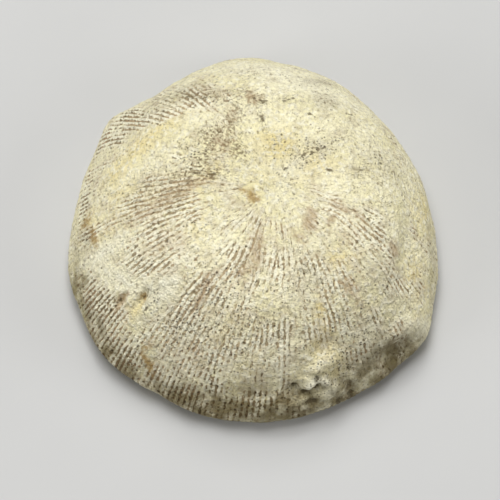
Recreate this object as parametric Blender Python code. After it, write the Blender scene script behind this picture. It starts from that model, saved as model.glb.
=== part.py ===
"""Fossil button coral: one natural solid, domed above and slightly hollow below.

It rests on a flat ring of its base with the dome up. The calyx on top carries
fine septa, the thin walls that run from the centre to the rim. They start as 54,
and new ones rise in the grooves twice on the way out, to 108 and then 216.

Sizes are in millimetres, and become metres when the mesh is made. +Z is up, the
base is on z = 0 and the middle of the outline is on the Z axis. A place on the
coral is given by its turn (degrees about +Z from +X) and its reach (0 at the
centre of the calyx, 1 at the rim), or by x and y.
"""
import math
from typing import NamedTuple

import bmesh
import bpy

MM = 0.001

# ---- driving dimensions ----------------------------------------------------
WIDTH = 13.0             # across, along X
LENGTH = 14.0            # the longer way, along Y
HEIGHT = 5.0             # from the base to the top of the dome
RIM_HEIGHT = 0.70        # height of the widest line above the base
DOME_FULLNESS = 3.3      # how flat the top of the dome is
DOME_SHOULDER = 1.12     # how steeply the dome meets the rim
CENTRE_X = 0.68          # the septa meet a little off the middle
CENTRE_Y = 0.12
CENTRE_FADE = 2.1        # how far out the septa keep straight before they bend
SWIRL = 0.10             # how far the septa turn from the centre to the rim, in radians

FIRST_SEPTA = 54         # septa at the centre, doubled twice on the way out
SEPTUM_DEPTH = 0.05      # crest to groove near the centre
SEPTUM_DEPTH_RIM = 0.10  # crest to groove near the rim
WORN_RIM = 0.45          # share of relief that wear takes off the very edge
WORN_FROM = 0.93         # where that wear starts

BASE_REACH = 0.91        # outer edge of the flat ring that it rests on
HOLLOW_REACH = 0.80      # inner edge of that ring
HOLLOW_DEPTH = 0.35      # how far the middle of the base is drawn up
UNDER_GROOVES = 0.6      # share of the grooves' depth kept under the rim


class Lobe(NamedTuple):
    """A bulge or flat in the outline: middle and spread in degrees, rise in mm."""

    turn: float
    spread: float
    rise: float


class Mark(NamedTuple):
    """A lump (rise over 0) or pit (under 0): an oval of half sizes long and wide.

    The long way lies at `turn` degrees from +X, seen from above. All in mm.
    """

    x: float
    y: float
    long: float
    wide: float
    turn: float
    rise: float


class Patch(NamedTuple):
    """A round area where the septa stand out more (over 0) or are worn away."""

    x: float
    y: float
    radius: float
    change: float


OUTLINE = {
    "knobbly corner": Lobe(326, 8, 0.38),
    "shoulder below it": Lobe(309, 5, 0.09),
    "left bulge": Lobe(190, 8, 0.13),
    "lower left bulge": Lobe(218, 9, 0.14),
    "lower edge": Lobe(243, 5, -0.08),
    "flat far right": Lobe(32, 22, -0.29),
    "flat right": Lobe(6, 10, -0.10),
    "far right bump": Lobe(66, 6, 0.10),
    "far point": Lobe(94, 10, 0.31),
    "notch": Lobe(120, 6, -0.11),
    "corner by the notch": Lobe(137, 5.5, 0.28),
    "flat left": Lobe(172, 20, -0.18),
}

MARKS = {
    "furrow in the right lip, far": Mark(5.19, 0.03, 0.95, 0.26, 92, -0.12),
    "furrow in the right lip, middle": Mark(5.35, -1.56, 0.90, 0.24, 93, -0.12),
    "furrow in the right lip, near": Mark(5.22, -3.10, 0.80, 0.24, 95, -0.12),
    "corner knob": Mark(5.72, -3.86, 0.30, 0.20, 60, 0.12),
    "ridge of the lip at the corner": Mark(4.99, -4.25, 0.40, 0.16, 40, 0.12),
    "fold under the corner": Mark(5.06, -4.61, 0.46, 0.16, 38, -0.28),
    "broken area, hollow": Mark(2.47, -5.19, 0.34, 0.18, 25, -0.12),
    "broken area, ridge": Mark(2.40, -5.61, 0.42, 0.14, 34, 0.17),
    "broken area, left pit": Mark(1.37, -6.17, 0.17, 0.11, 12, -0.22),
    "broken area, middle pit": Mark(2.12, -5.92, 0.14, 0.11, 20, -0.18),
    "broken area, lumps": Mark(2.20, -6.05, 0.32, 0.11, 24, 0.15),
    "broken area, right pit": Mark(3.22, -5.73, 0.18, 0.12, 25, -0.16),
    "broken area, right lumps": Mark(3.22, -5.99, 0.32, 0.11, 33, 0.14),
    "near lip": Mark(1.68, -6.59, 0.75, 0.14, 12, 0.11),
    "near lip, left": Mark(0.41, -6.74, 0.90, 0.14, 2, 0.06),
    "hollow behind the near lip": Mark(0.89, -6.36, 1.10, 0.14, 6, -0.05),
    "near swelling": Mark(0.09, -5.79, 0.34, 0.26, 0, 0.06),
    "near swelling, right": Mark(0.85, -5.67, 0.24, 0.20, 0, 0.05),
    "left pit": Mark(-4.62, -3.25, 0.24, 0.15, 33, -0.15),
    "stained pit": Mark(-3.89, -3.44, 0.26, 0.15, 38, -0.17),
    "pit by the centre": Mark(-0.07, -0.30, 0.28, 0.17, 10, -0.09),
    "centre of the calyx": Mark(0.67, 0.03, 0.14, 0.12, 0, -0.07),
    "left hollow": Mark(-4.20, 0.61, 1.20, 0.80, 70, -0.06),
    "far left swelling": Mark(-2.59, 2.93, 1.00, 0.70, 40, 0.06),
    "far hollow": Mark(1.48, 4.08, 1.10, 0.60, 170, -0.06),
    "right swelling": Mark(3.29, 1.69, 1.10, 0.80, 120, 0.05),
}

EVEN_STRENGTH = 0.62     # how much the septa stand out where nothing else is said
WEAKEST = 0.22
STRENGTHS = {
    "left, mid dome": Patch(-3.39, -1.29, 1.7, 0.45),
    "left rim": Patch(-5.50, -2.70, 1.6, 0.55),
    "lower left rim": Patch(-3.60, -5.39, 1.5, 0.45),
    "near rim": Patch(-0.39, -6.21, 1.9, 0.30),
    "near side of the centre": Patch(0.51, -2.66, 1.5, 0.25),
    "right": Patch(3.50, -2.36, 1.5, 0.20),
    "corner by the notch": Patch(-4.22, 3.92, 1.0, 0.35),
    "far right": Patch(3.20, 2.16, 2.2, -0.35),
    "far middle": Patch(0.58, 4.31, 1.8, -0.25),
    "left, worn": Patch(-4.71, 0.53, 1.1, -0.30),
    "centre, worn": Patch(0.60, 0.84, 1.1, -0.30),
    "broken area": Patch(2.43, -5.83, 0.8, -0.40),
}

# ---- rings of points -------------------------------------------------------
# Each zone has two points for each septum, one on its crest and one in its groove.
TOP_ZONES = (
    (2 * FIRST_SEPTA, (0.10, 0.18, 0.27)),
    (4 * FIRST_SEPTA, (0.36, 0.44, 0.52, 0.61, 0.70)),
    (8 * FIRST_SEPTA, (0.78, 0.845, 0.905, 0.96, 1.0)),
)
CURL_STEPS = (0.33, 0.67)  # shares of the quarter turn under the rim at the extra rings
HOLLOW_RINGS = (0.55, 0.30)


def bell(offset, spread):
    """A smooth bump: 1 at the middle, fading to nothing by about 3 spreads away."""
    return math.exp(-0.5 * (offset / spread) ** 2)


def outline_radius(turn, reach):
    """Distance from the middle to the rim: an ellipse plus lobes that fade inward."""
    half_width = WIDTH / 2
    half_length = LENGTH / 2
    across = half_length * math.cos(turn)
    along = half_width * math.sin(turn)
    radius = half_width * half_length / math.hypot(across, along)
    for lobe in OUTLINE.values():
        offset = (math.degrees(turn) - lobe.turn + 180) % 360 - 180
        radius += lobe.rise * bell(offset, lobe.spread) * reach ** 3
    return radius


def plan_point(turn, reach):
    """Where a turn and a reach lie, seen from above."""
    turn += SWIRL * (1 - reach)
    radius = outline_radius(turn, reach) * reach
    off_middle = 1 - reach ** CENTRE_FADE
    x = radius * math.cos(turn) + CENTRE_X * off_middle
    y = radius * math.sin(turn) + CENTRE_Y * off_middle
    return x, y


def dome_height(reach):
    """Height of the dome: flat on top, steeper and steeper towards the rim."""
    fall = 1 - reach ** DOME_FULLNESS
    return RIM_HEIGHT + (HEIGHT - RIM_HEIGHT) * max(fall, 0.0) ** (1 / DOME_SHOULDER)


def outward(turn, reach):
    """The way out of the dome: up at the centre, sideways at the rim."""
    step = 0.01
    inner = max(reach - step, 0.0)
    outer = min(reach + step, 1.0)
    drop = dome_height(inner) - dome_height(outer)
    run = (outer - inner) * outline_radius(turn, reach)
    tilt = math.atan2(drop, run)
    if reach == 1.0:
        tilt = math.pi / 2
    return math.sin(tilt) * math.cos(turn), math.sin(tilt) * math.sin(turn), math.cos(tilt)


def wear(reach):
    """Share of the relief that is left: all of it, less near the very edge."""
    share = max((reach - WORN_FROM) / (1 - WORN_FROM), 0.0)
    return 1 - WORN_RIM * share


def mark_rise(x, y):
    """Sum of the lumps and pits at a place."""
    rise = 0.0
    for mark in MARKS.values():
        turn = math.radians(mark.turn)
        along = (x - mark.x) * math.cos(turn) + (y - mark.y) * math.sin(turn)
        across = (y - mark.y) * math.cos(turn) - (x - mark.x) * math.sin(turn)
        rise += mark.rise * bell(along, mark.long) * bell(across, mark.wide)
    return rise


def septum_strength(x, y):
    """How much the septa stand out at a place, from WEAKEST to 1."""
    strength = EVEN_STRENGTH
    for patch in STRENGTHS.values():
        strength += patch.change * bell(math.hypot(x - patch.x, y - patch.y), patch.radius)
    return min(max(strength, WEAKEST), 1.0)


def septum_rise(x, y, reach, index):
    """Half the septum's depth, up on a crest (even index) and down in a groove."""
    depth = SEPTUM_DEPTH + (SEPTUM_DEPTH_RIM - SEPTUM_DEPTH) * reach
    side = 0.5 if index % 2 == 0 else -0.5
    return side * depth * septum_strength(x, y)


def top_ring(count, reach):
    """One ring of the calyx, from the centre outward."""
    points = []
    for index in range(count):
        turn = 2 * math.pi * index / count
        x, y = plan_point(turn, reach)
        rise = wear(reach) * (mark_rise(x, y) + septum_rise(x, y, reach, index))
        nx, ny, nz = outward(turn, reach)
        points.append((x + rise * nx, y + rise * ny, dome_height(reach) + rise * nz))
    return points


def curl_ring(count, share):
    """A ring under the rim, on the quarter round that turns it in to the base."""
    quarter = share * math.pi / 2
    reach = BASE_REACH + (1 - BASE_REACH) * math.cos(quarter)
    points = []
    for index in range(count):
        turn = 2 * math.pi * index / count
        x, y = plan_point(turn, reach)
        rise = UNDER_GROOVES * septum_rise(x, y, reach, index)
        x += rise * math.cos(turn) * math.cos(quarter)
        y += rise * math.sin(turn) * math.cos(quarter)
        points.append((x, y, RIM_HEIGHT * (1 - math.sin(quarter))))
    return points


def base_ring(count, reach):
    """A ring of the base: flat on z = 0 near the rim, drawn up towards the middle."""
    inward = max(1 - (reach / HOLLOW_REACH) ** 2, 0.0)
    height = HOLLOW_DEPTH * inward ** 2
    return [(*plan_point(2 * math.pi * index / count, reach), height) for index in range(count)]


def all_rings():
    """Every ring in order, from the centre of the calyx over the rim to the base."""
    rings = []
    for count, reaches in TOP_ZONES:
        for reach in reaches:
            rings.append(top_ring(count, reach))
    for share in CURL_STEPS:
        rings.append(curl_ring(8 * FIRST_SEPTA, share))
    rings.append(base_ring(4 * FIRST_SEPTA, BASE_REACH))
    rings.append(base_ring(4 * FIRST_SEPTA, HOLLOW_REACH))
    rings.append(base_ring(2 * FIRST_SEPTA, HOLLOW_RINGS[0]))
    rings.append(base_ring(FIRST_SEPTA, HOLLOW_RINGS[1]))
    return rings


def fit_to_size(rings, ends):
    """Scale the points so that the solid measures WIDTH, LENGTH and HEIGHT exactly."""
    points = [point for ring in rings for point in ring] + ends
    lowest = [min(point[axis] for point in points) for axis in range(3)]
    highest = [max(point[axis] for point in points) for axis in range(3)]
    size = (WIDTH, LENGTH, HEIGHT)
    scale = [size[axis] / (highest[axis] - lowest[axis]) for axis in range(3)]
    middle = [(highest[0] + lowest[0]) / 2, (highest[1] + lowest[1]) / 2, lowest[2]]

    def fitted(point):
        return tuple((point[axis] - middle[axis]) * scale[axis] * MM for axis in range(3))

    return [[fitted(point) for point in ring] for ring in rings], [fitted(point) for point in ends]


def join_even(mesh, ring, following):
    """Two triangles between each pair of neighbours of two rings of one count."""
    count = len(ring)
    for index in range(count):
        after = (index + 1) % count
        mesh.faces.new((ring[index], following[index], following[after]))
        mesh.faces.new((ring[index], following[after], ring[after]))


def join_doubled(mesh, ring, doubled):
    """Three triangles for each step of a ring, to one that has twice its points."""
    count = len(ring)
    for index in range(count):
        after = (index + 1) % count
        left = doubled[2 * index]
        between = doubled[2 * index + 1]
        right = doubled[(2 * index + 2) % len(doubled)]
        mesh.faces.new((ring[index], left, between))
        mesh.faces.new((ring[index], between, ring[after]))
        mesh.faces.new((ring[after], between, right))


def join_to_point(mesh, ring, end):
    """A fan of triangles that closes a ring on one point."""
    for index in range(len(ring)):
        mesh.faces.new((end, ring[index], ring[(index + 1) % len(ring)]))


def coral_mesh():
    """The whole coral as one closed skin of triangles."""
    centre = (CENTRE_X, CENTRE_Y, HEIGHT + mark_rise(CENTRE_X, CENTRE_Y))
    scar = (CENTRE_X, CENTRE_Y, HOLLOW_DEPTH)
    rings, ends = fit_to_size(all_rings(), [centre, scar])

    mesh = bmesh.new()
    skin = [[mesh.verts.new(point) for point in ring] for ring in rings]
    top_point = mesh.verts.new(ends[0])
    base_point = mesh.verts.new(ends[1])

    join_to_point(mesh, skin[0], top_point)
    for ring, following in zip(skin, skin[1:]):
        if len(ring) == len(following):
            join_even(mesh, ring, following)
        elif len(ring) < len(following):
            join_doubled(mesh, ring, following)
        else:
            join_doubled(mesh, following, ring)
    join_to_point(mesh, skin[-1], base_point)
    bmesh.ops.recalc_face_normals(mesh, faces=mesh.faces)

    data = bpy.data.meshes.new("button_coral")
    mesh.to_mesh(data)
    mesh.free()
    return data


def fossil_material():
    """Chalky cream calcite, dull all over."""
    material = bpy.data.materials.new("fossil")
    material.use_nodes = True
    shader = material.node_tree.nodes["Principled BSDF"]
    shader.inputs["Base Color"].default_value = (0.58, 0.52, 0.34, 1.0)
    shader.inputs["Roughness"].default_value = 0.9
    shader.inputs["Metallic"].default_value = 0.0
    return material


def main():
    """Build the coral in an empty scene."""
    for old in list(bpy.data.objects):
        bpy.data.objects.remove(old)

    coral = bpy.data.objects.new("button_coral", coral_mesh())
    coral.data.materials.append(fossil_material())
    bpy.context.scene.collection.objects.link(coral)


main()
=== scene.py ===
"""Looks for the fossil button coral: the weathered calyx, its base, the light and the floor.

The coral is one closed skin. It follows the same shape as the CAD solid, at a
finer grain: every septum has its own wandering line, its beads and its broken
grooves. Lengths are in millimetres until a mesh or a light is made, +Z is up and
the base is on z = 0. A place on the coral is its turn (radians about +Z from +X)
and its reach (0 at the centre of the calyx, 1 at the rim), or its x and y.
"""
from __future__ import annotations

import logging
import math
from dataclasses import dataclass, field
from enum import Enum
from functools import cached_property

import bpy
import numpy as np
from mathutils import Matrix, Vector

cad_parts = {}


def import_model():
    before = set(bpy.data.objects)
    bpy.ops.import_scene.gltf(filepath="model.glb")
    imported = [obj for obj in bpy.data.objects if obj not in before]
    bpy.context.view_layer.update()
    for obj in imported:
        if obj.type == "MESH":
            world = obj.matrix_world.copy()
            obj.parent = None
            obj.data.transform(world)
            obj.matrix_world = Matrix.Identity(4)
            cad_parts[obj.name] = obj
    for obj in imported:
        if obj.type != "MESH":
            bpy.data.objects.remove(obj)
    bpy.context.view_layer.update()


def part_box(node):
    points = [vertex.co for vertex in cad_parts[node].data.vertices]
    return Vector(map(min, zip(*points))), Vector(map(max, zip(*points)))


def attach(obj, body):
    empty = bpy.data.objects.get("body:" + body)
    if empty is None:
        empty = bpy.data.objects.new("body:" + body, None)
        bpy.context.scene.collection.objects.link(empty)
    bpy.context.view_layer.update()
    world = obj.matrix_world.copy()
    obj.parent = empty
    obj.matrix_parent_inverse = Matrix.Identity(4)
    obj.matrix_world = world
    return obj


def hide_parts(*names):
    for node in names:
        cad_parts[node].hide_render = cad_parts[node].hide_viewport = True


Array = np.ndarray
Colour = tuple[float, float, float]
Band = tuple[float, float]  # the low and the high end of a smooth step
Masks = dict[Enum, Array]  # values at each point, by a tint or another guide
log = logging.getLogger("button_coral")

MM = 0.001
NODE = "button_coral"
BODY = "root"
SKIN = "coral_skin"
OCTAVE_SHIFT = 7.3  # mm between the places that two layers of noise are read at
NOISE_WIDTH = 3.0  # makes a shader's noise, mostly 0.2 to 0.8, run from about -1 to 1


class Tint(Enum):
    """The stains, the painted shade and the painted highlights that lie over the cream of the
    fossil, each a mask on its mesh.
    """

    OCHRE = "ochre"
    RUST = "rust"
    UMBER = "umber"
    ASH = "ash"
    # painted shade and dark dirt in the pits and slits
    PIT_DIRT_AND_SHADE = "grime"
    SMUDGE = "smudge"
    # painted shade along the rim, where the light falls off
    RIM_SHADE = "soil"
    # painted highlights on the lumps, and chalky white patches
    CHALK_AND_HIGHLIGHT = "chalk"
    PITTED = "pitted"


class Guide(Enum):
    """What else the mesh tells the material.

    How open the grooves lie, how far the septa have doubled and doubled again, the
    reach, the distance from the calyx's centre in mm, and the place across the septa.
    """

    EXPOSED = "exposed"
    DOUBLED = "doubled"
    REDOUBLED = "redoubled"
    OUTWARD = "outward"
    ALONG = "along"
    LANE = "lane"


@dataclass(frozen=True)
class Lobe:
    """A bulge or flat in the outline: middle and spread in degrees, rise in mm."""

    turn: float
    spread: float
    rise: float


@dataclass(frozen=True)
class Oval:
    """A soft oval seen from above, with half sizes and an amount at its middle.

    The long way lies at `turn` degrees from +X. As relief the amount is a rise in
    mm, as a stain or a change of the septa it is a share.
    """

    x: float
    y: float
    long: float
    wide: float
    turn: float
    amount: float

    def spread(self, x: Array, y: Array) -> Array:
        """The amount times a bell that falls with the distance from the middle.

        Args:
            x: places along X, in mm.
            y: places along Y, in mm.

        Returns:
            The oval's share at each place.
        """
        turn = math.radians(self.turn)
        along = (x - self.x) * math.cos(turn) + (y - self.y) * math.sin(turn)
        across = (y - self.y) * math.cos(turn) - (x - self.x) * math.sin(turn)
        return self.amount * np.exp(-0.5 * ((along / self.long) ** 2 + (across / self.wide) ** 2))


def ovals(*rows: tuple[float, float, float, float, float, float]) -> tuple[Oval, ...]:
    """Ovals from rows that hold x, y, long, wide, turn and amount."""
    return tuple(Oval(*row) for row in rows)


def total(places: tuple[Oval, ...], x: Array, y: Array) -> Array:
    """Sum of the ovals' shares at each place.

    Args:
        places: the ovals.
        x: places along X, in mm.
        y: places along Y, in mm.

    Returns:
        The sum at each place.
    """
    result = np.zeros_like(x)
    for oval in places:
        result = result + oval.spread(x, y)
    return result


def smooth(value: Array, low: float | Array, high: float | Array) -> Array:
    """0 below low, 1 above high, and an S-shaped step between them.

    Args:
        value: the values to step.
        low: where the step starts.
        high: where the step ends.

    Returns:
        The stepped values.
    """
    share = np.clip((value - low) / (high - low), 0.0, 1.0)
    return share * share * (3 - 2 * share)


class SolidNoise:
    """Smooth random values that fill space, the same on every run."""

    def __init__(self, seed: int, cells: int = 32) -> None:
        """Draw the random values at the corners of a block of cells that repeats."""
        self.cells = cells
        self.corners = np.random.default_rng(seed).uniform(-1, 1, (cells, cells, cells))

    def at(self, points: Array, size: float) -> Array:
        """One value for each point, from -1 to 1.

        Each point lies in a cell whose eight corners hold random values. They are
        blended by the point's place in the cell, eased so that cells don't show.

        Args:
            points: n by 3 places in mm.
            size: the width of a cell in mm.

        Returns:
            n values.
        """
        scaled = points / size
        low = np.floor(scaled).astype(int)
        part = scaled - low
        part = part * part * (3 - 2 * part)
        low = low % self.cells
        high = (low + 1) % self.cells
        result = np.zeros(len(points))
        for corner in range(8):
            pick = [(corner >> axis) & 1 for axis in range(3)]
            index = [high[:, axis] if pick[axis] else low[:, axis] for axis in range(3)]
            weight = np.ones(len(points))
            for axis in range(3):
                weight = weight * (part[:, axis] if pick[axis] else 1 - part[:, axis])
            result = result + weight * self.corners[index[0], index[1], index[2]]
        return result

    def fractal(self, points: Array, size: float, octaves: int = 3) -> Array:
        """Layers of noise, each half as wide and half as strong as the last.

        Args:
            points: n by 3 places in mm.
            size: the width of the widest layer's cells in mm.
            octaves: how many layers.

        Returns:
            n values, about -1 to 1.
        """
        result = np.zeros(len(points))
        strength = 1.0
        for octave in range(octaves):
            moved = points + OCTAVE_SHIFT * octave
            result = result + strength * self.at(moved, size / 2 ** octave)
            strength = strength / 2
        return result


class LaneNoise:
    """Random values along each septum or groove, each lane with values of its own."""

    def __init__(self, seed: int, lanes: int, steps: int = 128) -> None:
        """Draw a table with a row for each lane, which closes round the coral.

        Args:
            seed: what the random values start from.
            lanes: how many rows.
            steps: how many values along each.
        """
        self.lanes = lanes
        self.steps = steps
        self.table = np.random.default_rng(seed).uniform(-1, 1, (lanes, steps))

    def along(self, lane: Array, distance: Array) -> Array:
        """Value in a lane, blended only along it.

        Args:
            lane: whole lane numbers.
            distance: how far along the lane, in steps of the table.

        Returns:
            Values from -1 to 1.
        """
        row = lane.astype(int) % self.lanes
        low = np.floor(distance).astype(int)
        part = distance - low
        part = part * part * (3 - 2 * part)
        start = self.table[row, low % self.steps]
        return start + (self.table[row, (low + 1) % self.steps] - start) * part

    def blended(self, lane: Array, distance: Array) -> Array:
        """Value between lanes, blended both ways.

        Args:
            lane: places across the lanes, one unit to a lane.
            distance: how far along, in steps of the table.

        Returns:
            Values from -1 to 1.
        """
        low = np.floor(lane)
        part = lane - low
        part = part * part * (3 - 2 * part)
        start = self.along(low, distance)
        return start + (self.along(low + 1, distance) - start) * part


@dataclass(frozen=True)
class Dome:
    """The coral's plain form: an uneven oval outline under a full, round dome."""

    width: float = 13.0
    length: float = 14.0
    height: float = 5.0
    rim_height: float = 0.70
    fullness: float = 3.3
    shoulder: float = 1.12
    centre_x: float = 0.68
    centre_y: float = 0.12
    centre_fade: float = 2.1
    swirl: float = 0.10
    fit_samples: int = 1440
    base_reach: float = 0.91
    hollow_reach: float = 0.80
    hollow_depth: float = 0.35
    lobes: tuple[Lobe, ...] = (
        Lobe(326, 8, 0.38),
        Lobe(309, 5, 0.09),
        Lobe(190, 8, 0.13),
        Lobe(218, 9, 0.14),
        Lobe(243, 5, -0.08),
        Lobe(32, 22, -0.29),
        Lobe(6, 10, -0.10),
        Lobe(66, 6, 0.10),
        Lobe(94, 10, 0.31),
        Lobe(120, 6, -0.11),
        Lobe(137, 5.5, 0.28),
        Lobe(172, 20, -0.18),
    )

    def outline_radius(self, turn: Array, reach: Array) -> Array:
        """Distance to the rim: an ellipse's radius plus lobes that fade inward.

        The ellipse's radius is a b / sqrt((b cos t)^2 + (a sin t)^2), with a and b
        its half width and half length. A lobe is a bell in the turn, times reach^3.

        Args:
            turn: turns in radians.
            reach: reaches from 0 to 1.

        Returns:
            Radii in mm.
        """
        half_width = self.width / 2
        half_length = self.length / 2
        across = half_length * np.cos(turn)
        along = half_width * np.sin(turn)
        radius = half_width * half_length / np.hypot(across, along)
        for lobe in self.lobes:
            offset = (np.degrees(turn) - lobe.turn + 180) % 360 - 180
            radius = radius + lobe.rise * np.exp(-0.5 * (offset / lobe.spread) ** 2) * reach ** 3
        return radius

    @cached_property
    def fit(self) -> tuple[float, float, float, float]:
        """Scales and shifts that bring the rim to its width and length.

        Returns:
            The scales in x and y, then the shifts in x and y in mm.
        """
        turn = np.linspace(0.0, 2 * math.pi, self.fit_samples, endpoint=False)
        radius = self.outline_radius(turn, np.ones_like(turn))
        found = []
        for size, places in ((self.width, np.cos(turn)), (self.length, np.sin(turn))):
            low = float((radius * places).min())
            high = float((radius * places).max())
            scale = size / (high - low)
            found.append((scale, -scale * (high + low) / 2))
        return found[0][0], found[1][0], found[0][1], found[1][1]

    def plan(self, turn: Array, reach: Array) -> tuple[Array, Array]:
        """Place seen from above: the radius times reach, moved off centre inward.

        The turn grows by swirl * (1 - reach), and the middle is moved by the centre's
        place times 1 - reach^fade, so the septa leave it straight and bend farther out.

        Args:
            turn: turns in radians.
            reach: reaches from 0 to 1.

        Returns:
            x and y in mm.
        """
        turn = turn + self.swirl * (1 - reach)
        radius = self.outline_radius(turn, reach) * reach
        off_middle = 1 - reach ** self.centre_fade
        scale_x, scale_y, shift_x, shift_y = self.fit
        x = scale_x * radius * np.cos(turn) + shift_x * reach + self.centre_x * off_middle
        y = scale_y * radius * np.sin(turn) + shift_y * reach + self.centre_y * off_middle
        return x, y

    def height_at(self, reach: Array) -> Array:
        """Height of the dome: rim height plus the rest times (1 - reach^f)^(1/s).

        Args:
            reach: reaches from 0 to 1.

        Returns:
            Heights in mm.
        """
        fall = np.clip(1 - reach ** self.fullness, 0.0, 1.0)
        return self.rim_height + (self.height - self.rim_height) * fall ** (1 / self.shoulder)

    def tilt(self, turn: Array, reach: Array) -> Array:
        """How far the way out leans from up: the angle whose tangent is the slope.

        Args:
            turn: turns in radians.
            reach: reaches from 0 to 1.

        Returns:
            Angles in radians, from 0 at the centre to a right angle at the rim.
        """
        step = 0.01
        inner = np.maximum(reach - step, 0.0)
        outer = np.minimum(reach + step, 1.0)
        drop = self.height_at(inner) - self.height_at(outer)
        run = (outer - inner) * self.outline_radius(turn, reach)
        leaning = np.arctan2(drop, run)
        return np.where(reach >= 1.0, math.pi / 2, leaning)

    def arc(self, samples: int = 4001) -> tuple[Array, Array]:
        """Reach against distance over the dome, along a mean meridian.

        Args:
            samples: how many points the meridian is measured with.

        Returns:
            Reaches from 0 to 1, and their distances from the centre in mm.
        """
        reach = np.linspace(0.0, 1.0, samples)
        mean_radius = (self.width + self.length) / 4
        run = np.diff(reach * mean_radius)
        drop = np.diff(self.height_at(reach))
        distance = np.concatenate([[0.0], np.cumsum(np.hypot(run, drop))])
        return reach, distance


@dataclass(frozen=True)
class Relief:
    """Lumps, pits and furrows of the calyx, and the grain of its worn surface."""

    marks: tuple[Oval, ...] = ovals(
        (5.42, 0.6, 0.7, 0.22, 102, -0.08), (5.5, -1.2, 0.7, 0.24, 90, -0.15),
        (5.3, -2.6, 0.8, 0.26, 95, -0.15), (5.72, -3.86, 0.32, 0.2, 60, 0.16),
        (4.99, -4.25, 0.46, 0.15, 40, 0.18), (5.06, -4.61, 0.55, 0.15, 38, -0.36),
        (2.47, -5.19, 0.36, 0.17, 25, -0.16), (2.42, -5.6, 0.42, 0.13, 34, 0.2),
        (1.45, -6.28, 0.18, 0.08, 10, -0.26), (2.18, -5.94, 0.11, 0.07, 20, -0.24),
        (2.0, -6.1, 0.19, 0.1, 30, 0.2), (2.42, -5.98, 0.19, 0.1, 10, 0.19),
        (2.65, -6.2, 0.26, 0.11, 27, 0.2), (3.34, -5.91, 0.14, 0.07, 25, -0.24),
        (3.2, -6.03, 0.3, 0.08, 33, 0.18), (1.68, -6.59, 0.75, 0.12, 12, 0.12),
        (0.41, -6.74, 0.9, 0.14, 2, 0.06), (0.89, -6.36, 1.1, 0.12, 6, -0.05),
        (0.09, -5.79, 0.34, 0.26, 0, 0.06), (0.85, -5.67, 0.2, 0.16, 0, 0.05),
        (1.32, -5.36, 0.2, 0.14, 0, 0.04), (-4.62, -3.27, 0.18, 0.1, 33, -0.17),
        (-3.87, -3.45, 0.2, 0.1, 38, -0.19), (-0.07, -0.3, 0.26, 0.13, 155, -0.08),
        (0.66, 0.0, 0.11, 0.09, 0, -0.08), (1.4, -0.27, 0.07, 0.09, 0, -0.05),
        (-4.2, 0.61, 1.2, 0.8, 70, -0.06), (-2.59, 2.93, 1.0, 0.7, 40, 0.06),
        (1.48, 4.08, 1.1, 0.6, 170, -0.06), (3.29, 1.69, 1.1, 0.8, 120, 0.05),
    )
    fine_marks: tuple[Oval, ...] = ovals(
        (1.88, -6.3, 0.28, 0.045, 24, -0.24), (2.05, -6.48, 0.24, 0.045, 12, -0.22),
        (2.22, -6.09, 0.12, 0.035, 24, -0.14), (2.45, -6.09, 0.12, 0.035, 40, -0.12),
        (3.38, -6.03, 0.13, 0.035, 33, -0.16), (2.97, -6.26, 0.1, 0.05, 33, -0.16),
        (3.35, -5.55, 0.06, 0.05, 0, -0.12), (1.94, -6.14, 0.1, 0.05, 30, 0.08),
        (2.52, -5.92, 0.09, 0.06, 20, 0.09), (2.91, -5.97, 0.08, 0.05, 0, 0.08),
        (1.21, 0.67, 0.05, 0.04, 30, -0.06), (0.37, 3.43, 0.12, 0.03, 10, -0.09),
        (1.28, 3.57, 0.2, 0.03, 12, -0.05), (3.61, 0.79, 0.26, 0.03, 175, -0.05),
        (3.58, 0.55, 0.22, 0.03, 178, -0.05), (3.37, 3.27, 0.22, 0.04, 10, -0.05),
        (3.07, 2.15, 0.16, 0.1, 30, -0.04), (5.35, -3.71, 0.1, 0.06, 150, 0.05),
    )
    crumpled: tuple[Oval, ...] = ovals(
        (2.55, -6.05, 0.9, 0.42, 28, 0.095), (5.2, -4.2, 0.6, 0.3, 40, 0.035),
    )
    crumple_size: float = 0.20
    crumple_start: float = 2.0
    swell: float = 0.035
    swell_size: float = 1.5
    grain: float = 0.022
    grain_size: float = 0.17
    worn_rim: float = 0.45
    worn_from: float = 0.93
    knob: float = 0.045
    knob_size: float = 0.62
    knob_start: float = 9.0
    knobs_from: float = 0.86

    def wear(self, reach: Array) -> Array:
        """Share of the relief that is left, which falls to the very edge.

        Args:
            reach: reaches from 0 to 1.

        Returns:
            Shares from 0 to 1.
        """
        share = np.clip((reach - self.worn_from) / (1 - self.worn_from), 0.0, 1.0)
        return 1 - self.worn_rim * share

    def knobs(self, points: Array, reach: Array, noise: SolidNoise) -> Array:
        """Low knobs along the rim: noise that comes in over the last of the reach.

        Args:
            points: n by 3 places on the plain dome, in mm.
            reach: n reaches from 0 to 1.
            noise: the noise that the knobs are read from.

        Returns:
            n rises in mm.
        """
        share = smooth(reach, self.knobs_from, 1.0)
        return self.knob * share * noise.at(points + self.knob_start, self.knob_size)

    def rise(self, points: Array, noise: SolidNoise) -> Array:
        """Marks at each place, plus a broad swell, a fine grain and crumpled places.

        Args:
            points: n by 3 places on the plain dome, in mm.
            noise: the noise that the swell and the grain are read from.

        Returns:
            n rises in mm.
        """
        x = points[:, 0]
        y = points[:, 1]
        marks = total(self.marks, x, y) + total(self.fine_marks, x, y)
        swell = self.swell * noise.at(points, self.swell_size)
        grain = self.grain * noise.fractal(points, self.grain_size, octaves=2)
        rock = noise.fractal(points + self.crumple_start, self.crumple_size, octaves=2)
        return marks + swell + grain + total(self.crumpled, x, y) * rock


@dataclass(frozen=True)
class SeptaField:
    """What the septa give each point: a rise, which count it lies in, and how open they are."""

    rise: Array
    doubled: Array
    redoubled: Array
    open_share: Array


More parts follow.
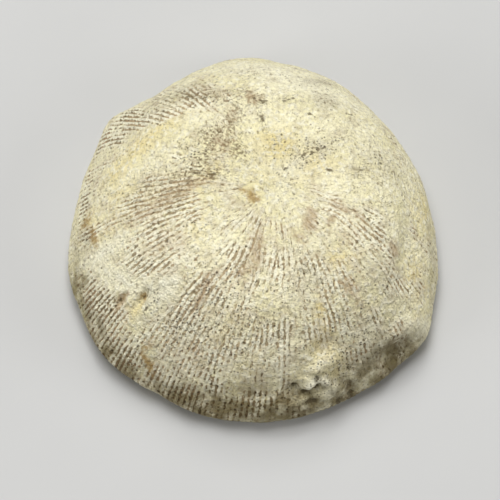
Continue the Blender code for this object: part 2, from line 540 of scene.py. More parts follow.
@dataclass(frozen=True)
class Septa:
    """The radiating walls: 54 at the centre, then 108, then 216 at the rim.

    New septa come in one by one, each at a reach of its own, and push their
    neighbours aside, so that the spacing stays about the same all the way out.
    Patches are places where the grooves lie more open than elsewhere, or less.
    """

    first: int = 54
    depth: float = 0.030
    depth_rim: float = 0.060
    first_insertions: Band = (0.18, 0.42)
    second_insertions: Band = (0.46, 0.85)
    insertion_length: float = 0.14
    wander: float = 0.06
    wander_shares: tuple[float, float] = (1.6, 0.7)
    wander_lengths: tuple[float, float] = (1.3, 0.5)
    wander_closer: int = 3
    even_strength: float = 0.38
    bare_centre: Band = (0.02, 0.16)
    ragged: float = 0.54
    ragged_shares: tuple[float, float] = (0.75, 0.50)
    ragged_size: float = 0.7
    streak_length: float = 1.0
    patches: tuple[Oval, ...] = ovals(
        (-3.72, -2.17, 1.1, 0.6, 27, 0.5), (-4.2, -0.55, 1.2, 0.45, 8, 0.45),
        (-2.6, -1.6, 1.0, 0.8, 25, 0.2), (-3.4, 0.2, 1.1, 0.5, 30, 0.22),
        (-2.3, 0.4, 0.9, 0.45, 20, 0.3), (-1.1, 1.6, 0.7, 0.45, 140, 0.3),
        (-1.0, 2.7, 0.7, 0.35, 110, 0.2), (-5.95, 0.5, 1.1, 0.28, 97, 0.4),
        (-5.45, -3.05, 1.1, 0.42, 118, 0.6), (-3.6, -5.39, 1.5, 1.2, 0, 0.2),
        (-0.39, -6.21, 2.2, 0.7, 0, 0.28), (-0.3, -2.97, 0.9, 0.6, 70, 0.4),
        (-1.79, -3.6, 0.7, 0.4, 55, 0.45), (0.91, -1.83, 1.2, 0.5, 110, 0.25),
        (3.3, -1.03, 1.2, 0.3, 150, 0.32), (3.3, -2.05, 0.8, 0.6, 140, 0.12),
        (3.19, -3.46, 0.6, 0.5, 130, 0.1), (4.67, -2.38, 0.8, 0.4, 110, 0.25),
        (-3.6, 3.72, 1.1, 0.38, 15, 0.4), (-3.0, 3.32, 0.75, 0.28, 12, 1.0),
        (-5.5, 1.3, 0.8, 0.22, 108, 0.32), (-4.85, 3.3, 0.8, 0.4, 55, 0.4),
        (-1.91, 4.26, 0.9, 0.4, 150, 0.25), (0.2, 2.9, 1.0, 1.0, 0, -0.25),
        (0.4, 6.0, 1.8, 0.7, 0, -0.45), (3.6, 0.89, 0.4, 0.2, 170, 0.15),
        (3.38, 2.3, 1.8, 1.6, 0, -0.42), (1.41, 3.9, 1.6, 1.4, 0, -0.36),
        (-2.89, 2.24, 0.9, 0.7, 40, -0.4), (-4.88, 1.14, 0.9, 0.7, 60, -0.35),
        (-5.2, -1.4, 0.65, 0.3, 10, -1.1), (-4.5, -2.7, 0.85, 0.26, 137, -1.1),
        (-2.95, -3.3, 0.45, 0.24, 30, -0.8), (-3.99, -3.95, 0.35, 0.25, 30, -0.7),
        (-1.6, -1.7, 0.6, 0.45, 40, -0.35), (0.9, 0.91, 1.2, 1.0, 0, -0.36),
        (-0.3, -5.2, 1.8, 0.6, 0, 0.22), (1.5, -4.6, 0.9, 0.5, 80, 0.18),
        (5.45, -0.4, 0.5, 1.3, 0, -0.25), (4.27, 0.38, 1.0, 0.7, 160, -0.35),
        (2.43, -5.83, 0.8, 0.5, 20, -0.5), (5.6, -3.62, 0.5, 0.4, 0, -0.45),
    )

    @property
    def at_rim(self) -> int:
        """How many septa reach the rim."""
        return 4 * self.first

    def arrivals(self, lanes: int, between: Band) -> Array:
        """The reach at which the middle septum of each lane comes in.

        They are spread evenly from the first to the last by steps of the golden
        section, so that neighbours never come in together.

        Args:
            lanes: how many lanes.
            between: the first and the last reach.

        Returns:
            One reach for each lane.
        """
        golden = (math.sqrt(5) - 1) / 2
        share = (np.arange(lanes) * golden) % 1.0
        return between[0] + (between[1] - between[0]) * share

    def arrived(self, lane: Array, reach: Array, lanes: int, between: Band) -> Array:
        """How far the middle septum of a lane has come in, from 0 to 1.

        Args:
            lane: whole lane numbers.
            reach: reaches from 0 to 1.
            lanes: how many lanes there are.
            between: the first and the last reach at which they come in.

        Returns:
            The shares.
        """
        start = self.arrivals(lanes, between)[lane.astype(int) % lanes]
        return smooth(reach, start, start + self.insertion_length)

    def spaced(self, reach: Array, share: int) -> Array:
        """Turns of the points of some rings, with lanes as wide as the septa in them.

        A lane's width is half before its side's first new septum and a whole after,
        and doubles with the second. The turns are the running sum of the widths,
        scaled to a whole round.

        Args:
            reach: the reach of each ring.
            share: points for each septum of the rim.

        Returns:
            Turns in radians, rings by points.
        """
        lanes = 2 * self.first
        lane = np.arange(lanes)[None, :]
        outward = reach[:, None]
        first = self.arrived(lane // 2, outward, self.first, self.first_insertions)
        second = self.arrived(lane, outward, lanes, self.second_insertions)
        width = (0.5 + 0.5 * first) * (1 + second)
        width = width * 2 * math.pi / width.sum(axis=1, keepdims=True)
        starts = np.concatenate([np.zeros((len(reach), 1)), np.cumsum(width, axis=1)], axis=1)
        even = 2 * math.pi * np.arange(lanes + 1)[None, :] / lanes
        starts = starts - (starts - even)[:, :-1].mean(axis=1, keepdims=True)
        place = np.arange(share * self.at_rim) / (2 * share)
        here = np.floor(place).astype(int)
        part = (place - here)[None, :]
        return starts[:, here] + part * width[:, here]

    def wandering(self, turn: Array, distance: Array, lanes: LaneNoise) -> Array:
        """How far each line strays round the coral, in radians.

        Lane noise that changes over a millimetre or so, plus less of a closer one.

        Args:
            turn: turns in radians.
            distance: distances from the centre in mm.
            lanes: noise with a lane for each few septa.

        Returns:
            Turns to add, in radians.
        """
        spacing = 2 * math.pi / self.at_rim
        lane = turn / (2 * math.pi) * lanes.lanes
        broad = lanes.blended(lane, distance / self.wander_lengths[0])
        fine = lanes.blended(lane * self.wander_closer, distance / self.wander_lengths[1])
        strayed = self.wander_shares[0] * broad + self.wander_shares[1] * fine
        return self.wander * spacing * strayed

    def field(
        self,
        turn: Array,
        reach: Array,
        distance: Array,
        points: Array,
        lanes: LaneNoise,
        noise: SolidNoise,
    ) -> SeptaField:
        """Rise and masks of the septa.

        Across the septa the height is a cosine with one wave to a septum. Where a
        new septum comes in, the wave of one count gives way to that of twice the
        count. The material adds what is finer: beads, bars, pores and slits.

        Args:
            turn: even turns, before lanes are spaced, in radians.
            reach: reaches from 0 to 1.
            distance: distances from the centre in mm.
            points: n by 3 places in mm.
            lanes: noise with a lane for every two septa of the rim.
            noise: solid noise for the patches' ragged edges.

        Returns:
            The field at each point.
        """
        lane = turn / (2 * math.pi) * self.at_rim
        doubled = self.arrived(np.floor(lane / 4), reach, self.first, self.first_insertions)
        redoubled = self.arrived(
            np.floor(lane / 2), reach, 2 * self.first, self.second_insertions
        )
        strength = self.even_strength + total(self.patches, points[:, 0], points[:, 1])
        streaks = lanes.blended(lane / 2, distance / self.streak_length)
        blots = noise.fractal(points, self.ragged_size, octaves=4)
        ragged = self.ragged * (self.ragged_shares[0] * blots + self.ragged_shares[1] * streaks)
        open_share = np.clip(strength + ragged, 0.0, 1.0) * smooth(reach, *self.bare_centre)

        depth = self.depth + (self.depth_rim - self.depth) * reach
        rise = 0.5 * depth * open_share * septa_wave(lane, doubled, redoubled)
        return SeptaField(rise=rise, doubled=doubled, redoubled=redoubled, open_share=open_share)


def septa_wave(lane: Array, doubled: Array, redoubled: Array) -> Array:
    """Cosines across the septa, 1 on a crest and -1 in a groove.

    The wave has a crest on every fourth lane, on every second where the septa
    have doubled, and on each where they have doubled again.

    Args:
        lane: places across the septa of the rim, one unit to a septum.
        doubled: how far the septa have doubled, from 0 to 1.
        redoubled: how far they have doubled again.

    Returns:
        The wave.
    """
    wave = (1 - redoubled) * np.cos(math.pi * lane) + redoubled * np.cos(2 * math.pi * lane)
    return (1 - doubled) * np.cos(0.5 * math.pi * lane) + doubled * wave


@dataclass(frozen=True)
class Stains:
    """Where each tint lies on the calyx."""

    places: dict[Tint, tuple[Oval, ...]] = field(default_factory=lambda: {
        Tint.OCHRE: ovals(
            (0.85, 1.71, 0.5, 0.4, 20, 0.95), (1.89, 0.91, 0.75, 0.28, 175, 0.65),
            (0.99, 0.37, 0.6, 0.2, 170, 0.5), (-4.08, 2.13, 0.38, 0.32, 40, 0.75),
            (-3.19, 2.7, 0.6, 0.28, 35, 0.65), (-4.85, 1.45, 0.32, 0.3, 50, 0.7),
            (-4.68, 0.48, 0.4, 0.25, 30, 0.55), (-3.56, 0.04, 0.5, 0.3, 20, 0.6),
            (-1.78, 0.29, 0.8, 0.22, 42, 0.7), (-2.07, -1.02, 0.6, 0.25, 110, 0.5),
            (-4.89, -0.68, 0.5, 0.3, 30, 0.4), (-5.74, -0.21, 0.4, 0.22, 90, 0.6),
            (2.52, -4.3, 0.36, 0.2, 90, 2.0), (3.03, -2.49, 0.32, 0.22, 10, 0.85),
            (5.92, 0.34, 0.75, 0.2, 85, 0.6), (5.73, -2.36, 0.45, 0.25, 90, 0.65),
            (2.6, -5.52, 0.6, 0.25, 27, 0.65), (2.21, -5.18, 0.35, 0.2, 20, 0.5),
            (-0.71, -4.3, 0.25, 0.22, 0, 0.55), (-0.9, -5.03, 0.3, 0.22, 0, 0.5),
            (0.01, -5.82, 0.3, 0.22, 0, 0.5), (-4.03, -3.58, 0.24, 0.15, 38, 0.9),
            (0.01, -6.6, 1.0, 0.2, 5, 0.4), (-0.11, -0.09, 0.4, 0.25, 0, 0.35),
        ),
        Tint.RUST: ovals(
            (-0.08, -0.29, 0.32, 0.16, 155, 1.05), (-5.8, 0.14, 0.16, 0.14, 0, 0.8),
            (-5.66, -0.7, 0.42, 0.12, 97, 0.9), (-3.86, -3.46, 0.17, 0.085, 38, 1.15),
            (-4.65, -3.27, 0.2, 0.12, 33, 0.45), (-3.67, -5.22, 0.34, 0.12, 115, 0.95),
            (5.6, -2.21, 0.16, 0.1, 80, 0.5),
        ),
        Tint.UMBER: ovals(
            (-1.75, 0.29, 0.65, 0.18, 42, 0.5), (-2.71, -0.05, 0.6, 0.35, 40, 0.45),
            (-3.81, -0.69, 0.9, 0.45, 20, 0.5), (-3.3, -2.09, 0.5, 0.35, 30, 0.5),
            (-2.58, -1.5, 0.5, 0.3, 30, 0.35), (0.01, 3.77, 0.32, 0.24, 110, 0.85),
            (-0.9, 3.04, 0.6, 0.2, 100, 0.5), (-1.15, 1.69, 0.5, 0.35, 130, 0.6),
            (-1.9, 4.37, 0.6, 0.25, 160, 0.4), (1.97, -1.15, 0.3, 0.17, 100, 1.3),
            (2.75, -1.13, 0.16, 0.12, 30, 1.15), (1.59, -1.83, 0.38, 0.2, 120, 0.75),
            (3.38, -0.82, 0.85, 0.15, 153, 0.8), (3.2, -1.83, 0.55, 0.2, 145, 0.5),
            (3.38, -3.38, 0.36, 0.2, 130, 0.75), (4.97, -1.8, 0.24, 0.12, 115, 1.8),
            (3.99, -3.91, 0.5, 0.3, 160, 0.2), (0.1, -1.95, 0.7, 0.16, 95, 0.55),
            (-0.24, -3.03, 0.75, 0.3, 68, 0.65), (-1.7, -3.52, 0.5, 0.18, 55, 1.1),
            (-2.21, -5.25, 0.7, 0.28, 150, 0.5), (-4.62, -3.27, 0.18, 0.11, 33, 1.6),
            (-3.72, -5.0, 0.36, 0.18, 115, 0.6), (0.48, -5.18, 0.4, 0.2, 60, 0.35),
        ),
        Tint.ASH: ovals(
            (-3.88, 3.47, 0.6, 0.35, 25, 0.6), (-1.92, 4.48, 0.6, 0.25, 160, 0.5),
            (2.16, 4.82, 0.4, 0.25, 20, 0.75), (2.54, 3.76, 0.34, 0.28, 20, 0.75),
            (2.31, 1.47, 0.5, 0.25, 30, 0.55), (4.37, 1.4, 0.5, 0.4, 20, 0.35),
            (-3.11, -3.18, 0.5, 0.35, 40, 0.4), (-2.29, -4.36, 0.7, 0.5, 40, 0.5),
            (1.88, -3.0, 0.6, 0.4, 110, 0.5), (2.9, -4.71, 0.8, 0.4, 30, 0.45),
            (0.41, -5.64, 1.3, 0.35, 0, 0.4), (4.6, -2.76, 0.5, 0.35, 110, 0.5),
            (4.4, -4.3, 0.5, 0.35, 40, 0.15), (3.99, -5.14, 0.9, 0.35, 38, 0.6),
            (5.28, -4.37, 0.4, 0.25, 40, 0.6),
        ),
        # painted shade and dark dirt in the pits, the slits and the fold's hollow, on the
        # relief's marks
        Tint.PIT_DIRT_AND_SHADE: ovals(
            (-4.68, -3.22, 0.11, 0.035, 45, 0.7), (-3.86, -3.41, 0.11, 0.035, 38, 0.8),
            (5.1, -4.67, 0.5, 0.12, 38, 0.35), (1.45, -6.28, 0.15, 0.055, 10, 0.7),
            (2.18, -5.94, 0.08, 0.05, 20, 0.6), (3.34, -5.91, 0.1, 0.045, 25, 0.65),
            (1.88, -6.3, 0.26, 0.035, 24, 0.9), (2.05, -6.48, 0.24, 0.035, 12, 0.9),
            (2.22, -6.09, 0.1, 0.035, 24, 0.7), (3.38, -6.03, 0.12, 0.035, 33, 0.9),
            (2.97, -6.26, 0.1, 0.05, 33, 0.75), (3.35, -5.55, 0.05, 0.05, 0, 0.6),
            (0.31, 3.5, 0.06, 0.03, 160, 1.5), (0.43, 3.53, 0.06, 0.03, 20, 1.5),
            (0.05, 3.62, 0.1, 0.06, 120, 0.7), (1.27, 3.66, 0.24, 0.045, 25, 0.7),
            (0.3, 2.72, 0.24, 0.05, 120, 0.7), (1.98, 2.97, 0.11, 0.05, 160, 0.85),
            (0.8, 1.75, 0.12, 0.045, 15, 0.6), (1.5, 2.05, 0.2, 0.035, 160, 0.5),
            (-0.45, 1.3, 0.11, 0.045, 35, 0.85), (-1.95, 0.6, 0.14, 0.05, 160, 0.8),
            (-1.3, 0.52, 0.12, 0.045, 150, 0.8), (3.61, 0.81, 0.26, 0.035, 175, 0.65),
            (3.58, 0.56, 0.2, 0.035, 178, 0.65), (2.65, 0.66, 0.14, 0.045, 165, 0.85),
            (3.37, 3.27, 0.22, 0.045, 10, 0.6), (4.35, 1.5, 0.22, 0.035, 0, 0.55),
            (4.45, 1.3, 0.22, 0.035, 0, 0.55), (1.12, 0.69, 0.045, 0.045, 0, 1.0),
            (1.75, 1.22, 0.06, 0.045, 30, 1.1), (2.24, 1.45, 0.06, 0.045, 0, 1.1),
            (2.05, 1.3, 0.05, 0.045, 0, 1.0), (2.45, 1.55, 0.06, 0.045, 40, 0.9),
            (-2.01, 1.47, 0.05, 0.045, 0, 0.9), (-2.95, -1.76, 0.05, 0.045, 0, 1.0),
            (-3.71, -3.78, 0.06, 0.045, 40, 0.9), (1.4, -0.24, 0.05, 0.045, 0, 0.9),
        ),
        Tint.SMUDGE: ovals(
            (-1.35, 3.95, 0.7, 0.24, 170, 0.85), (-0.55, 3.35, 0.26, 0.2, 60, 0.75),
            (-0.85, 2.75, 0.34, 0.3, 120, 0.85), (-1.2, 2.2, 0.55, 0.26, 160, 1.0),
            (-1.35, 1.62, 0.36, 0.24, 160, 1.1), (-0.55, 1.38, 0.5, 0.22, 160, 0.85),
            (-1.72, 1.28, 0.24, 0.14, 20, 0.8), (-1.65, 0.62, 0.75, 0.36, 170, 0.95),
            (0.0, 3.8, 0.32, 0.2, 115, 1.1), (0.3, 2.7, 0.36, 0.14, 118, 0.85),
            (1.27, 3.64, 0.4, 0.16, 15, 0.65), (2.55, 3.75, 0.28, 0.3, 20, 0.65),
            (2.14, 4.82, 0.36, 0.22, 20, 0.55), (1.9, 1.32, 0.6, 0.3, 25, 0.7),
            (0.85, 1.75, 0.4, 0.25, 20, 0.35), (-2.4, 4.3, 0.7, 0.3, 155, 0.7),
            (-3.8, 3.6, 0.7, 0.35, 40, 0.6), (-2.6, 0.1, 0.7, 0.4, 40, 0.75),
            (-3.6, 0.6, 0.6, 0.35, 40, 0.45), (-4.3, -0.4, 0.6, 0.3, 30, 0.4),
            (3.1, 2.15, 0.28, 0.22, 30, 0.5), (3.75, 0.7, 0.5, 0.28, 175, 0.45),
            (4.3, 1.4, 0.45, 0.3, 10, 0.4), (0.5, -4.6, 0.9, 0.3, 10, 0.45),
            (1.9, -3.1, 0.4, 0.5, 100, 0.5), (-1.2, -4.8, 0.8, 0.35, 160, 0.45),
            (3.6, -4.3, 0.6, 0.35, 30, 0.25), (4.6, -3.0, 0.4, 0.5, 110, 0.3),
            (2.6, -6.05, 0.9, 0.35, 28, 0.28), (0.1, 5.0, 0.3, 0.12, 20, 0.7),
            (3.44, 2.93, 0.2, 0.16, 30, 0.55), (2.75, 5.1, 0.3, 0.2, 150, 0.45),
        ),
        # painted shade: darkens the rim, most on the near side, where the light falls off
        Tint.RIM_SHADE: ovals(
            (-6.15, -1.6, 1.1, 0.22, 84, 0.6), (-5.7, -3.3, 1.1, 0.26, 112, 0.8),
            (-4.7, -4.95, 1.0, 0.26, 133, 0.75), (-3.0, -6.15, 1.1, 0.34, 153, 0.85),
            (-1.0, -6.75, 1.2, 0.4, 175, 0.9), (1.0, -6.8, 1.1, 0.36, 5, 1.0),
            (2.75, -6.5, 1.0, 0.32, 28, 1.0), (4.3, -5.4, 1.0, 0.42, 40, 1.0),
            (5.15, -4.62, 0.65, 0.28, 42, 1.0), (6.25, -1.6, 1.3, 0.14, 92, 0.35),
        ),
        # painted highlights on the lumps; chalky white patches on the flank, partly painted light
        # there
        Tint.CHALK_AND_HIGHLIGHT: ovals(
            (2.0, -6.08, 0.18, 0.07, 30, 1.1), (2.42, -5.96, 0.18, 0.07, 10, 1.1),
            (2.65, -6.17, 0.2, 0.08, 27, 0.7), (3.2, -6.01, 0.26, 0.05, 33, 1.1),
            (2.4, -5.56, 0.36, 0.12, 34, 0.5), (1.6, -6.7, 0.8, 0.09, 10, 0.6),
            (5.9, -3.7, 0.3, 0.14, 60, 0.6), (5.05, -4.12, 0.4, 0.14, 40, 0.45),
            (-5.15, -1.4, 0.55, 0.24, 10, 0.7), (-4.5, -2.7, 0.75, 0.22, 137, 0.6),
            (-2.95, -3.3, 0.4, 0.2, 30, 0.5), (1.45, 0.95, 0.4, 0.2, 20, 0.5),
            (1.15, 0.45, 0.4, 0.2, 0, 0.4), (-2.6, -2.6, 0.5, 0.16, 35, 0.5),
            (1.9, 4.5, 1.2, 0.5, 165, 0.35), (0.5, 5.4, 1.4, 0.4, 0, 0.35),
        ),
        Tint.PITTED: ovals(
            (2.2, 1.43, 0.45, 0.28, 30, 1.0), (1.61, 1.22, 0.4, 0.25, 30, 0.8),
            (0.8, 1.75, 0.5, 0.35, 20, 0.35), (0.89, 0.7, 0.5, 0.3, 0, 0.35),
            (-1.93, 1.41, 0.6, 0.4, 20, 0.4), (-1.85, -1.42, 0.35, 0.25, 20, 0.6),
            (-3.42, -3.65, 0.35, 0.25, 40, 0.5), (-2.39, -4.44, 0.8, 0.55, 40, 0.55),
            (-1.29, -3.51, 0.9, 0.7, 60, 0.35), (-1.36, 3.97, 0.9, 0.5, 160, 0.35),
            (0.39, -4.71, 1.4, 0.9, 0, 0.3), (2.19, -3.01, 1.0, 0.8, 110, 0.25),
            (-3.19, 0.68, 0.7, 0.5, 40, 0.3), (4.37, 1.4, 0.5, 0.4, 20, 0.25),
            (3.71, -4.66, 0.9, 0.45, 35, 0.45), (2.6, -6.1, 0.9, 0.4, 28, 0.25),
        ),
    })
    ragged: float = 0.16
    ragged_size: float = 0.5
    ragged_start: float = 11.0
    crisp: tuple[Tint, ...] = (Tint.PIT_DIRT_AND_SHADE, Tint.CHALK_AND_HIGHLIGHT)

    def masks(self, points: Array, noise: SolidNoise) -> Masks:
        """One mask for each tint: its ovals, read at places that noise moves about.

        Crisp tints, the pits' painted shade and the lumps' painted highlights, lie just
        where the relief has those pits and lumps, so they are read at the places themselves.

        Args:
            points: n by 3 places in mm.
            noise: noise that makes the edges ragged.

        Returns:
            Masks from 0 to 1.
        """
        plain = points[:, 0], points[:, 1]
        along_x = noise.fractal(points, self.ragged_size, octaves=2)
        along_y = noise.fractal(points + self.ragged_start, self.ragged_size, octaves=2)
        moved = plain[0] + self.ragged * along_x, plain[1] + self.ragged * along_y
        return {
            tint: np.clip(total(spots, *(plain if tint in self.crisp else moved)), 0.0, 1.0)
            for tint, spots in self.places.items()
        }


@dataclass(frozen=True)
class Underside:
    """The base: fine ribs that carry on the septa, rings of growth, grain and stains."""

    ribs_doubled: Band = (0.34, 0.44)
    ribs_redoubled: Band = (0.72, 0.80)
    rib_depth: float = 0.035
    ribbed_from: Band = (0.10, 0.22)
    ribbed_shares: tuple[float, float] = (0.55, 0.45)
    ribbed_size: float = 1.6
    ribbed_start: float = 5.0
    break_length: float = 0.4
    break_cut: Band = (0.0, 0.7)
    break_share: float = 0.7
    growth: float = 0.05
    growth_rings: int = 9
    growth_stray: float = 0.8
    growth_size: float = 2.0
    growth_edge: float = 0.86
    growth_fade: Band = (0.0, 0.2)
    grain: float = 0.012
    grain_size: float = 0.22
    stain_size: float = 1.8
    stain_start: float = 3.0
    ochre: float = 0.55
    ash: float = 0.50
    scar: float = 0.55
    scar_edge: float = 0.22
    scar_fade: Band = (0.0, 0.15)

    def ribbed(self, reach: Array, points: Array, noise: SolidNoise) -> Array:
        """How strongly the ribs show: in patches, and not at all in the middle.

        Args:
            reach: reaches from 0 to 1.
            points: n by 3 places in mm.
            noise: the noise of the patches.

        Returns:
            Shares from 0 to 1.
        """
        patches = noise.fractal(points + self.ribbed_start, self.ribbed_size, octaves=2)
        share = self.ribbed_shares[0] + self.ribbed_shares[1] * patches
        return np.clip(smooth(reach, *self.ribbed_from) * share, 0.0, 1.0)

    def grooves(self, wave: Array, lane: Array, distance: Array, lanes: LaneNoise) -> Array:
        """How deep the grooves between the ribs are, with short breaks in them.

        Args:
            wave: the septa's wave, -1 in a groove.
            lane: places across the septa, one unit to a septum.
            distance: distances from the calyx's centre in mm.
            lanes: noise with a lane for each septum.

        Returns:
            Shares from 0 to 1.
        """
        breaks = smooth(lanes.blended(lane, distance / self.break_length), *self.break_cut)
        return np.clip(-wave, 0.0, 1.0) * (1 - self.break_share * breaks)

    def steps(self, reach: Array, points: Array, noise: SolidNoise) -> Array:
        """Rings of growth: the upper halves of a sine in the reach, moved about by noise.

        Args:
            reach: reaches from 0 to 1.
            points: n by 3 places in mm.
            noise: the noise that moves them.

        Returns:
            Rises in mm.
        """
        stray = self.growth_stray * noise.at(points, self.growth_size)
        wave = np.sin(2 * math.pi * reach * self.growth_rings + stray)
        shown = smooth(self.growth_edge - reach, *self.growth_fade)
        return np.clip(self.growth * wave * shown, 0.0, 1.0)

    def stains(self, reach: Array, points: Array, noise: SolidNoise) -> Masks:
        """Ochre and ash in broad patches, and an umber scar in the middle.

        Args:
            reach: reaches from 0 to 1.
            points: n by 3 places in mm.
            noise: the noise of the patches.

        Returns:
            Masks from 0 to 1.
        """
        patches = noise.fractal(points + self.stain_start, self.stain_size)
        return {
            Tint.OCHRE: self.ochre * np.clip(patches, 0.0, 1.0),
            Tint.ASH: self.ash * np.clip(-patches, 0.0, 1.0),
            Tint.UMBER: self.scar * smooth(self.scar_edge - reach, *self.scar_fade),
        }


@dataclass
class Zone:
    """Rings with one count of points, all the way round, in order outward and under."""

    points: Array
    masks: Masks

    @classmethod
    def shaped(cls, rings: int, points: Array, masks: Masks) -> Zone:
        """A zone from points and masks that lie ring after ring in one row."""
        grids = {name: mask.reshape(rings, -1) for name, mask in masks.items()}
        return cls(points.reshape(rings, -1, 3), grids)

    @property
    def rings(self) -> int:
        """How many rings."""
        return self.points.shape[0]

    @property
    def count(self) -> int:
        """How many points in each ring."""
        return self.points.shape[1]


@dataclass(frozen=True)
class Rings:
    """What a zone is made of: points for each septum of the rim, rings, and their reaches."""

    share: int
    count: int
    start: float
    end: float


@dataclass
class CoralSkin:
    """The coral's mesh: zones of rings from the calyx's centre, round the rim, to the base."""

    dome: Dome = field(default_factory=Dome)
    relief: Relief = field(default_factory=Relief)
    septa: Septa = field(default_factory=Septa)
    stains: Stains = field(default_factory=Stains)
    underside: Underside = field(default_factory=Underside)
    top: tuple[Rings, ...] = (
        Rings(1, 24, 0.012, 0.30),
        Rings(2, 36, 0.30, 0.62),
        Rings(4, 70, 0.62, 1.00),
    )
    curl_share: int = 4
    curl_rings: int = 6
    under: tuple[Rings, ...] = (
        Rings(4, 6, 0.91, 0.76),
        Rings(2, 12, 0.76, 0.40),
        Rings(1, 9, 0.40, 0.03),
    )

    def __post_init__(self) -> None:
        """Draw the noise that the whole skin shares."""
        self.solid = SolidNoise(seed=11)
        self.lanes = LaneNoise(seed=23, lanes=self.septa.at_rim)
        self.strays = LaneNoise(seed=37, lanes=self.septa.first)
        self.streaks = LaneNoise(seed=41, lanes=2 * self.septa.first)
        self.arc_reach, self.arc_distance = self.dome.arc()

    def reach_steps(self, rings: int, inner: float, outer: float) -> Array:
        """Reaches at even distances over the dome, from inner to outer.

        Args:
            rings: how many.
            inner: the first reach.
            outer: the last reach.

        Returns:
            The reaches.
        """
        ends = np.interp([inner, outer], self.arc_reach, self.arc_distance)
        steps = np.linspace(ends[0], ends[1], rings)
        return np.interp(steps, self.arc_distance, self.arc_reach)

    def laid_out(self, share: int, *rows: Array) -> list[Array]:
        """The turn of every point of some rings, then the value that each row gives its ring.

        Args:
            share: points for each septum of the rim.
            rows: one value for each ring, in each row.

        Returns:
            The turns and the rows, ring after ring.
        """
        count = share * self.septa.at_rim
        turns = 2 * math.pi * np.arange(count) / count
        grids = [turns[None, :], *(row[:, None] for row in rows)]
        return [np.broadcast_to(grid, (len(rows[0]), count)).ravel() for grid in grids]

    def top_zone(self, share: int, reaches: Array) -> Zone:
        """Rings of the calyx: the plain dome moved along its way out by the relief.

        Args:
            share: points for each septum of the rim.
            reaches: the reach of each ring.

        Returns:
            The zone.
        """
        turn, reach = self.laid_out(share, reaches)
        distance = np.interp(reach, self.arc_reach, self.arc_distance)
        placed = self.septa.spaced(reaches, share).ravel()
        placed = placed + self.septa.wandering(turn, distance, self.strays)
        x, y = self.dome.plan(placed, reach)
        plain = np.stack([x, y, self.dome.height_at(reach)], axis=1)

        septa = self.septa.field(turn, reach, distance, plain, self.streaks, self.solid)
        rise = self.relief.wear(reach) * (self.relief.rise(plain, self.solid) + septa.rise)
        rise = rise + self.relief.knobs(plain, reach, self.solid)
        tilt = self.dome.tilt(placed, reach)
        way = np.stack(
            [np.sin(tilt) * np.cos(placed), np.sin(tilt) * np.sin(placed), np.cos(tilt)], axis=1
        )
        masks = self.stains.masks(plain, self.solid) | {
            Guide.EXPOSED: septa.open_share,
            Guide.DOUBLED: septa.doubled,
            Guide.REDOUBLED: septa.redoubled,
            Guide.OUTWARD: reach,
            Guide.ALONG: distance,
            Guide.LANE: turn / (2 * math.pi) * self.septa.at_rim,
        }
        return Zone.shaped(len(reaches), plain + rise[:, None] * way, masks)

    def under_zone(self, share: int, reaches: Array, heights: Array, out: Array) -> Zone:
        """Rings under the rim and on the base.

        Args:
            share: points for each septum of the rim.
            reaches: the reach of each ring.
            heights: the height of each ring in mm.
            out: how far each ring faces sideways, 1 at the rim and 0 on the base.

        Returns:
            The zone.
        """
        turn, reach, height, sideways = self.laid_out(share, reaches, heights, out)
        distance = self.arc_distance[-1] + (1 - reach) * self.dome.width / 2
        placed = self.septa.spaced(np.ones(len(reaches)), share).ravel()
        placed = placed + self.septa.wandering(turn, distance, self.strays)
        x, y = self.dome.plan(placed, reach)
        plain = np.stack([x, y, height], axis=1)

        base = self.underside
        lane = turn / (2 * math.pi) * self.septa.at_rim
        doubled = smooth(reach, *base.ribs_doubled)
        redoubled = smooth(reach, *base.ribs_redoubled)
        wave = septa_wave(lane, doubled, redoubled)
        ribbed = base.ribbed(reach, plain, self.solid)
        rib = base.rib_depth * ribbed * base.grooves(wave, lane, distance, self.lanes)
        grain = base.grain * (1 + self.solid.fractal(plain, base.grain_size, octaves=2))
        up = rib + base.steps(reach, plain, self.solid) + grain * (1 - sideways)
        inward = rib * sideways - sideways * self.relief.knobs(plain, reach, self.solid)
        points = plain + np.stack(
            [-inward * np.cos(placed), -inward * np.sin(placed), up * (1 - sideways)], axis=1
        )

        own = base.stains(reach, plain, self.solid)
        masks = {
            tint: sideways * mask + (1 - sideways) * own.get(tint, 0.0)
            for tint, mask in self.stains.masks(plain, self.solid).items()
        }
        rim = self.septa.field(
            turn, np.ones_like(reach), distance, plain, self.streaks, self.solid
        )
        masks = masks | {
            Guide.EXPOSED: sideways * rim.open_share + (1 - sideways) * ribbed,
            Guide.DOUBLED: doubled,
            Guide.REDOUBLED: redoubled,
            Guide.OUTWARD: reach,
            Guide.ALONG: distance,
            Guide.LANE: lane,
        }
        return Zone.shaped(len(reaches), points, masks)

    def zones(self) -> list[Zone]:
        """Every zone in order, from the calyx's centre to the middle of the base.

        A zone leaves out its first ring where the zone before it ends there.

        Returns:
            The zones.
        """
        found = []
        for index, rings in enumerate(self.top):
            left_out = min(index, 1)
            reaches = self.reach_steps(rings.count + left_out, rings.start, rings.end)
            found.append(self.top_zone(rings.share, reaches[left_out:]))
        base = self.dome.base_reach
        quarter = np.linspace(0.0, math.pi / 2, self.curl_rings + 1)[1:]
        reaches = base + (1 - base) * np.cos(quarter)
        heights = self.dome.rim_height * (1 - np.sin(quarter))
        found.append(self.under_zone(self.curl_share, reaches, heights, np.cos(quarter)))
        for rings in self.under:
            reaches = np.linspace(rings.start, rings.end, rings.count + 1)[1:]
            hollow = np.clip(1 - (reaches / self.dome.hollow_reach) ** 2, 0.0, 1.0)
            heights = self.dome.hollow_depth * hollow ** 2
            found.append(self.under_zone(rings.share, reaches, heights, 0 * reaches))
        return found

